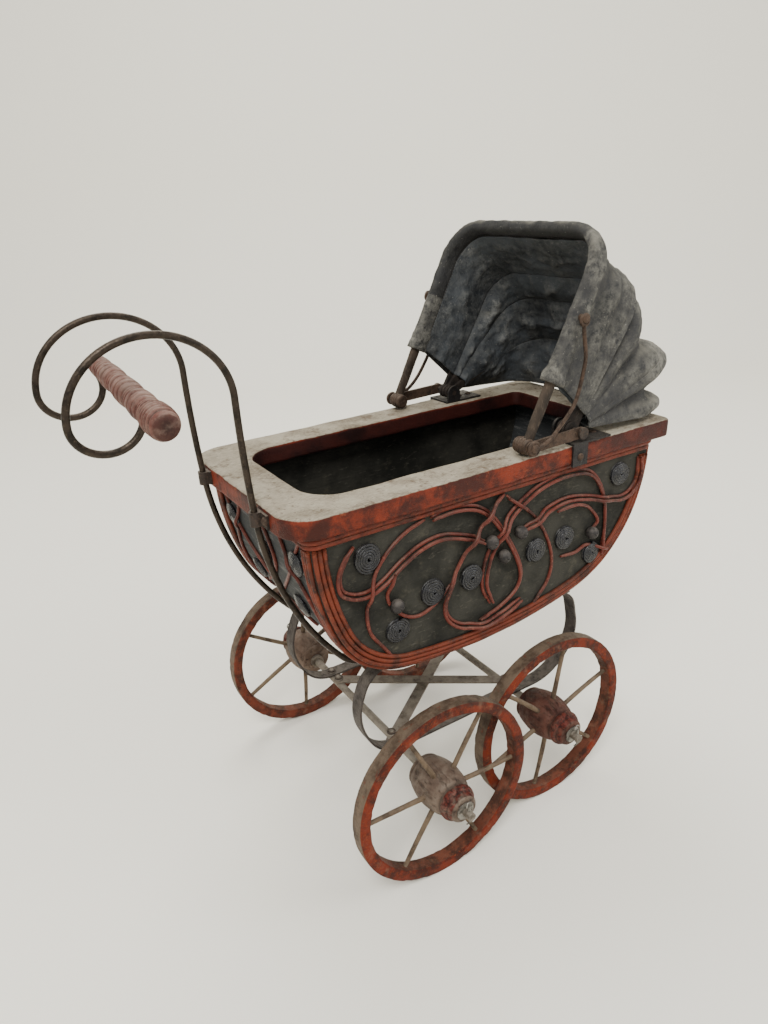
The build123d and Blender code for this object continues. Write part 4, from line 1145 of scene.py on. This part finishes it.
for g, (name, body_a, body_b, over, sides) in enumerate(GORES):
    a, b = inner_hoops[order[g]], inner_hoops[order[g + 1]]
    n = STEPS[name]
    m = len(a[0])
    over_k = smoothstep(a[2] * 1.15)
    verts = np.zeros((n, m, 3))
    ridge = np.zeros((n, m))
    for i, t in enumerate(np.linspace(0, 1, n)):
        swag = math.sin(math.pi * t)
        d_top = min(float(np.interp(t, *zip(*over))) * swag ** 0.3 + 2.5, -1.0 - (1.5 if name == "front" else 4.0) * swag)
        base = a[0] * (1 - t) + b[0] * t
        nn = unit(a[1] * (1 - t) + b[1] * t)
        for j in range(m):
            q = Vector(base[j])
            lump = ((1.6 if name == "front" else 3.8) * noise.fractal(q / 20 + Vector((7, 0, 0)), 0.9, 2.1, 3) + 1.5 * noise.noise(q / 7)) * (0.3 + 0.7 * swag)
            d = d_top * over_k[j] - 2.2 * swag * (1 - over_k[j]) + min(lump, 1.0)
            verts[i, j] = base[j] + nn[j] * d
            ridge[i, j] = 0.3 - 0.14 * lump
    shell = Shell()
    shell.add(verts.reshape(-1, 3), grid(n, m, flip=True), ridge=np.clip(ridge, 0, 1).reshape(-1))
    lining = shell.build(f"hood_lining_{name}", M_HOOD_LINING, None, [])
    solid = lining.modifiers.new("thickness", "SOLIDIFY")
    solid.thickness = 0.0006
    solid.offset = 0.0
    mid_a, mid_b = a[0][m // 2], b[0][m // 2]
    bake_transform(lining)

# hem band round the front bow, with its stitches and the turned-up ends
hem_pts, hem_nrm, hem_tn = hoop(78.0, FRONT_LEN - 2.3, 44.0, 28.5)
hem_path = np.array([on_front(y, s, 1.2) for y, s in hem_pts])
hem_path = even(smooth_path(hem_path, 2), 2.2)
n_h = len(hem_path)
tt = np.linspace(0, 1, n_h)
end_k = np.exp(-((tt) / 0.035) ** 2) + np.exp(-((1 - tt) / 0.035) ** 2)
section = [(4.3 * math.copysign(abs(math.cos(a)) ** 0.7, math.cos(a)), 6.9 * math.copysign(abs(math.sin(a)) ** 0.7, math.sin(a)))
           for a in np.arange(24) / 24 * TAU]
t_h, side_h, norm_h = frames(hem_path, up=(BACK[0], 0, BACK[1]))
verts, ridge_a = [], []
for i, p in enumerate(hem_path):
    puff = 1 + 0.3 * end_k[i]
    for k, (u, w) in enumerate(section):
        q = p + side_h[i] * u * puff + norm_h[i] * w * puff
        d = 0.55 * noise.fractal(Vector(q) / 8, 0.9, 2, 3) + 1.3 * end_k[i] * noise.noise(Vector(q) / 5)
        nn = unit(side_h[i] * u / 4.3 + norm_h[i] * w / 6.9)
        verts.append(q + nn * d)
        ridge_a.append(0.3 + 0.5 * d + 0.25 * end_k[i] + (0.3 if i < n_h * 0.3 or i > n_h * 0.86 else -0.3))
shell = Shell()
faces = grid(n_h, len(section), wrap_m=True, flip=True)
faces += [tuple(range(len(section))), tuple(range((n_h - 1) * 24, n_h * 24))[::-1]]
shell.add(verts, faces, ridge=ridge_a)
hem = shell.build("hood_hem", M_CLOTH, "bow_front", [])

stitch = Shell()
for i in range(4, n_h - 4):
    p = hem_path[i] + norm_h[i] * 4.8 + side_h[i] * 4.0
    q = p + t_h[i] * 1.3
    for sgn in (1,):
        tube(stitch, np.array([p, (p + q) / 2 + side_h[i] * 0.25, q]), 0.28, 6)
stitches = stitch.build("hood_stitches", M_BEAD, "bow_front", [])

# bow legs, rollers and hood irons
# the inner bows get the darker, painted-shade copy of the bow wood
for b in ("hood_bow_second", "hood_bow_third", "hood_bow_rear"):
    nodes[b].data.materials.clear()
    nodes[b].data.materials.append(M_BOW_SHADED)

legs = Shell()
for sgn in (-1, 1):
    path = [on_front(sgn * 78.0, s, 0.0) for s in np.linspace(1, 60, 20)]
    section = [(2.9 * math.copysign(abs(math.cos(a)) ** 0.85, math.cos(a)), 3.9 * math.copysign(abs(math.sin(a)) ** 0.85, math.sin(a)))
               for a in np.arange(20) / 20 * TAU]
    taper = np.linspace(0.92, 1.06, 20)
    tube(legs, np.array(path), taper, up=(BACK[0], 0, BACK[1]), section=section)
legs.build("hood_front_legs", M_LEG, "bow_front", ["hood_bow_front"], wobble=(0.3, 6, 4))

rollers = Shell()
for sgn in (-1, 1):
    body_p = []
    for t in np.linspace(-5.6, 5.6, 40):
        r = 6.1 - 0.03 * t * t
        for g0 in (-3.6, -1.2, 1.2, 3.6):
            r -= 0.7 * math.exp(-((t - g0) / 0.45) ** 2)
        body_p.append((t, r))
    prof = [(-6.2, 1e-3), (-6.2, 3.5), (-6.0, 4.9)] + body_p + [(6.0, 4.9), (6.2, 3.5), (6.2, 1e-3)]
    lathe(rollers, prof, (FOOT[0], sgn * 76.0, FOOT[1]), (0, sgn, 0), 36)
rollers.build("hood_rollers_turned", M_ROLLER, "bow_front", ["hood_rollers"], wobble=(0.2, 5, 8))

wires = Shell()
stay = smooth_path([(FOOT[0] + 3, FOOT[1]), (54, 296), (67, 308), (76, 322), (80, 338), (80, 352), (77.5, 366)], 8)
for sgn in (-1, 1):
    path = np.array([(p[0], sgn * (86.0 + 0.4 * math.sin(i * 0.4)), p[1]) for i, p in enumerate(stay)])
    tube(wires, path, 1.35, 10)
    eye = [(78 + 3.2 * math.sin(a), sgn * 86, 369 - 3.2 * math.cos(a)) for a in np.linspace(0, TAU, 30)[:-1]]
    tube(wires, np.array(eye), 1.2, 8, closed=True)
    eye = [(FOOT[0] + 4.2 * math.sin(a), sgn * 86, FOOT[1] - 4.2 * math.cos(a)) for a in np.linspace(0, TAU, 30)[:-1]]
    tube(wires, np.array(eye), 1.2, 8, closed=True)
wires.build("hood_stay_wires", M_RUST, "bow_front", ["hood_stays"])

bolts = Shell()
for sgn in (-1, 1):
    lathe(bolts, rounded([(0, 1e-3), (0, 2.3), (4.5, 2.3), (4.5, 3.4), (6.0, 3.2), (7.0, 2.0), (7.1, 1e-3)], 0.5, 2),
          (78.0, sgn * 81.5, 370.5), (0, sgn, 0), 18)
    lathe(bolts, rounded([(0, 1e-3), (0, 2.6), (2.6, 2.6), (2.6, 3.6), (4.0, 3.3), (4.8, 1.8), (4.9, 1e-3)], 0.5, 2),
          (FOOT[0], sgn * 83.3, FOOT[1]), (0, sgn, 0), 18)
bolts.build("hood_stay_bolts", M_RUST, "bow_front", ["stay_bolts"])

heads = Shell()
for sgn in (-1, 1):
    dome_head(heads, (83, sgn * 84.4, RZ1 - 9), (0, sgn, 0), 2.8, 1.4)
    for x in (97, 107):
        dome_head(heads, (x, sgn * 72, RZ1 + 1.4), (0, 0, 1), 2.8, 1.3)
heads.build("bracket_screw_heads", M_RUST, "body", ["bracket_screws"])

# ---------------------------------------------------------------- carried-over CAD nodes
CAD_LOOKS = {
    "side_panel_right": M_PANEL, "side_panel_left": M_PANEL, "tub_skin": M_LINING, "tub_floor": M_LINING,
    "handle_rod_left": M_ROD, "handle_rod_right": M_ROD, "handle_clips": M_IRON,
    "batten_handle": M_BATTEN, "batten_hood": M_BATTEN, "spring_strap_left": M_SPRING, "spring_strap_right": M_SPRING,
    "axle_handle": M_AXLE, "axle_hood": M_AXLE, "axle_collars": M_STRAP, "axle_washers": M_WIRE,
    "cross_brace_lower": M_STRAP, "cross_brace_upper": M_STRAP, "spring_rivets": M_IRON, "brace_rivets": M_IRON,
    "batten_screws": M_IRON, "hood_brackets": M_BLACK, "hood_pivot_pins": M_IRON, "hood_arms": M_RUST,
}
for name, mat in CAD_LOOKS.items():
    mesh = nodes[name].data
    mesh.materials.clear()
    mesh.materials.append(mat)

# ---------------------------------------------------------------- floor, light and camera
stage_mat = Mat("stage_paper")
stage_mat.done(lin((247, 244, 233)), stage_mat.ramp(stage_mat.noise(3), 0.2, 0.8, 0.85, 0.95), spec=0.2)
n_s = 24
sweep = [(-3.0, 0.0), (1.3, 0.0)] + [(1.3 + 0.5 * math.sin(a), 0.5 - 0.5 * math.cos(a)) for a in np.linspace(0.1, math.pi / 2, n_s)] + [(1.8, 3.2)]
stage_mesh = bpy.data.meshes.new("studio_floor")
yaw, pitch, roll = 0.54324125, 0.41024578, -0.05235988
back_dir = np.array([math.sin(yaw), math.cos(yaw)])
wide_dir = np.array([math.cos(yaw), -math.sin(yaw)])
sv = []
for d, z in sweep:
    for w in (-4.0, 4.0):
        p = back_dir * d + wide_dir * w
        sv.append((p[0], p[1], z))
stage_mesh.from_pydata(sv, [], grid(len(sweep), 2))
stage_mesh.polygons.foreach_set("use_smooth", [True] * len(stage_mesh.polygons))
stage_obj = bpy.data.objects.new("studio_floor", stage_mesh)
bpy.context.scene.collection.objects.link(stage_obj)
stage_mesh.materials.append(stage_mat.mat)


def area_light(name, at, aim, size, power, colour):
    light = bpy.data.lights.new(name, "AREA")
    light.shape = "DISK"
    light.size = size
    light.energy = power
    light.color = colour
    obj = bpy.data.objects.new(name, light)
    obj.location = at
    obj.rotation_euler = (Vector(aim) - Vector(at)).to_track_quat("-Z", "Y").to_euler()
    bpy.context.scene.collection.objects.link(obj)


area_light("key", (-0.9, -1.0, 1.9), (0, 0, 0.2), 0.9, 38, (1.0, 0.98, 0.94))
area_light("fill", (1.4, -1.2, 1.1), (0, 0, 0.2), 1.2, 14, (0.98, 0.99, 1.0))
area_light("top", (0.3, 0.9, 1.8), (0, 0, 0.2), 1.0, 17, (1.0, 0.98, 0.94))
world = bpy.data.worlds.new("studio")
bpy.context.scene.world = world
world.use_nodes = True
world.node_tree.nodes["Background"].inputs["Color"].default_value = (0.95, 0.94, 0.91, 1)
world.node_tree.nodes["Background"].inputs["Strength"].default_value = 0.95

fwd = np.array([math.sin(yaw) * math.cos(pitch), math.cos(yaw) * math.cos(pitch), -math.sin(pitch)])
right = np.array([math.cos(yaw), -math.sin(yaw), 0.0])
up = np.cross(right, fwd)
r2 = right * math.cos(roll) + up * math.sin(roll)
u2 = -right * math.sin(roll) + up * math.cos(roll)
camera_data = bpy.data.cameras.new("camera")
camera_data.sensor_fit = "VERTICAL"
camera_data.sensor_height = 36.0
camera_data.lens = 26.367
camera_data.clip_start = 0.02
camera = bpy.data.objects.new("camera", camera_data)
pos = (-0.288707 + MID / 1000, -0.432550, 0.454240)
camera.matrix_world = Matrix(((r2[0], u2[0], -fwd[0], pos[0]), (r2[1], u2[1], -fwd[1], pos[1]),
                              (r2[2], u2[2], -fwd[2], pos[2]), (0, 0, 0, 1)))
bpy.context.scene.collection.objects.link(camera)
bpy.context.scene.camera = camera
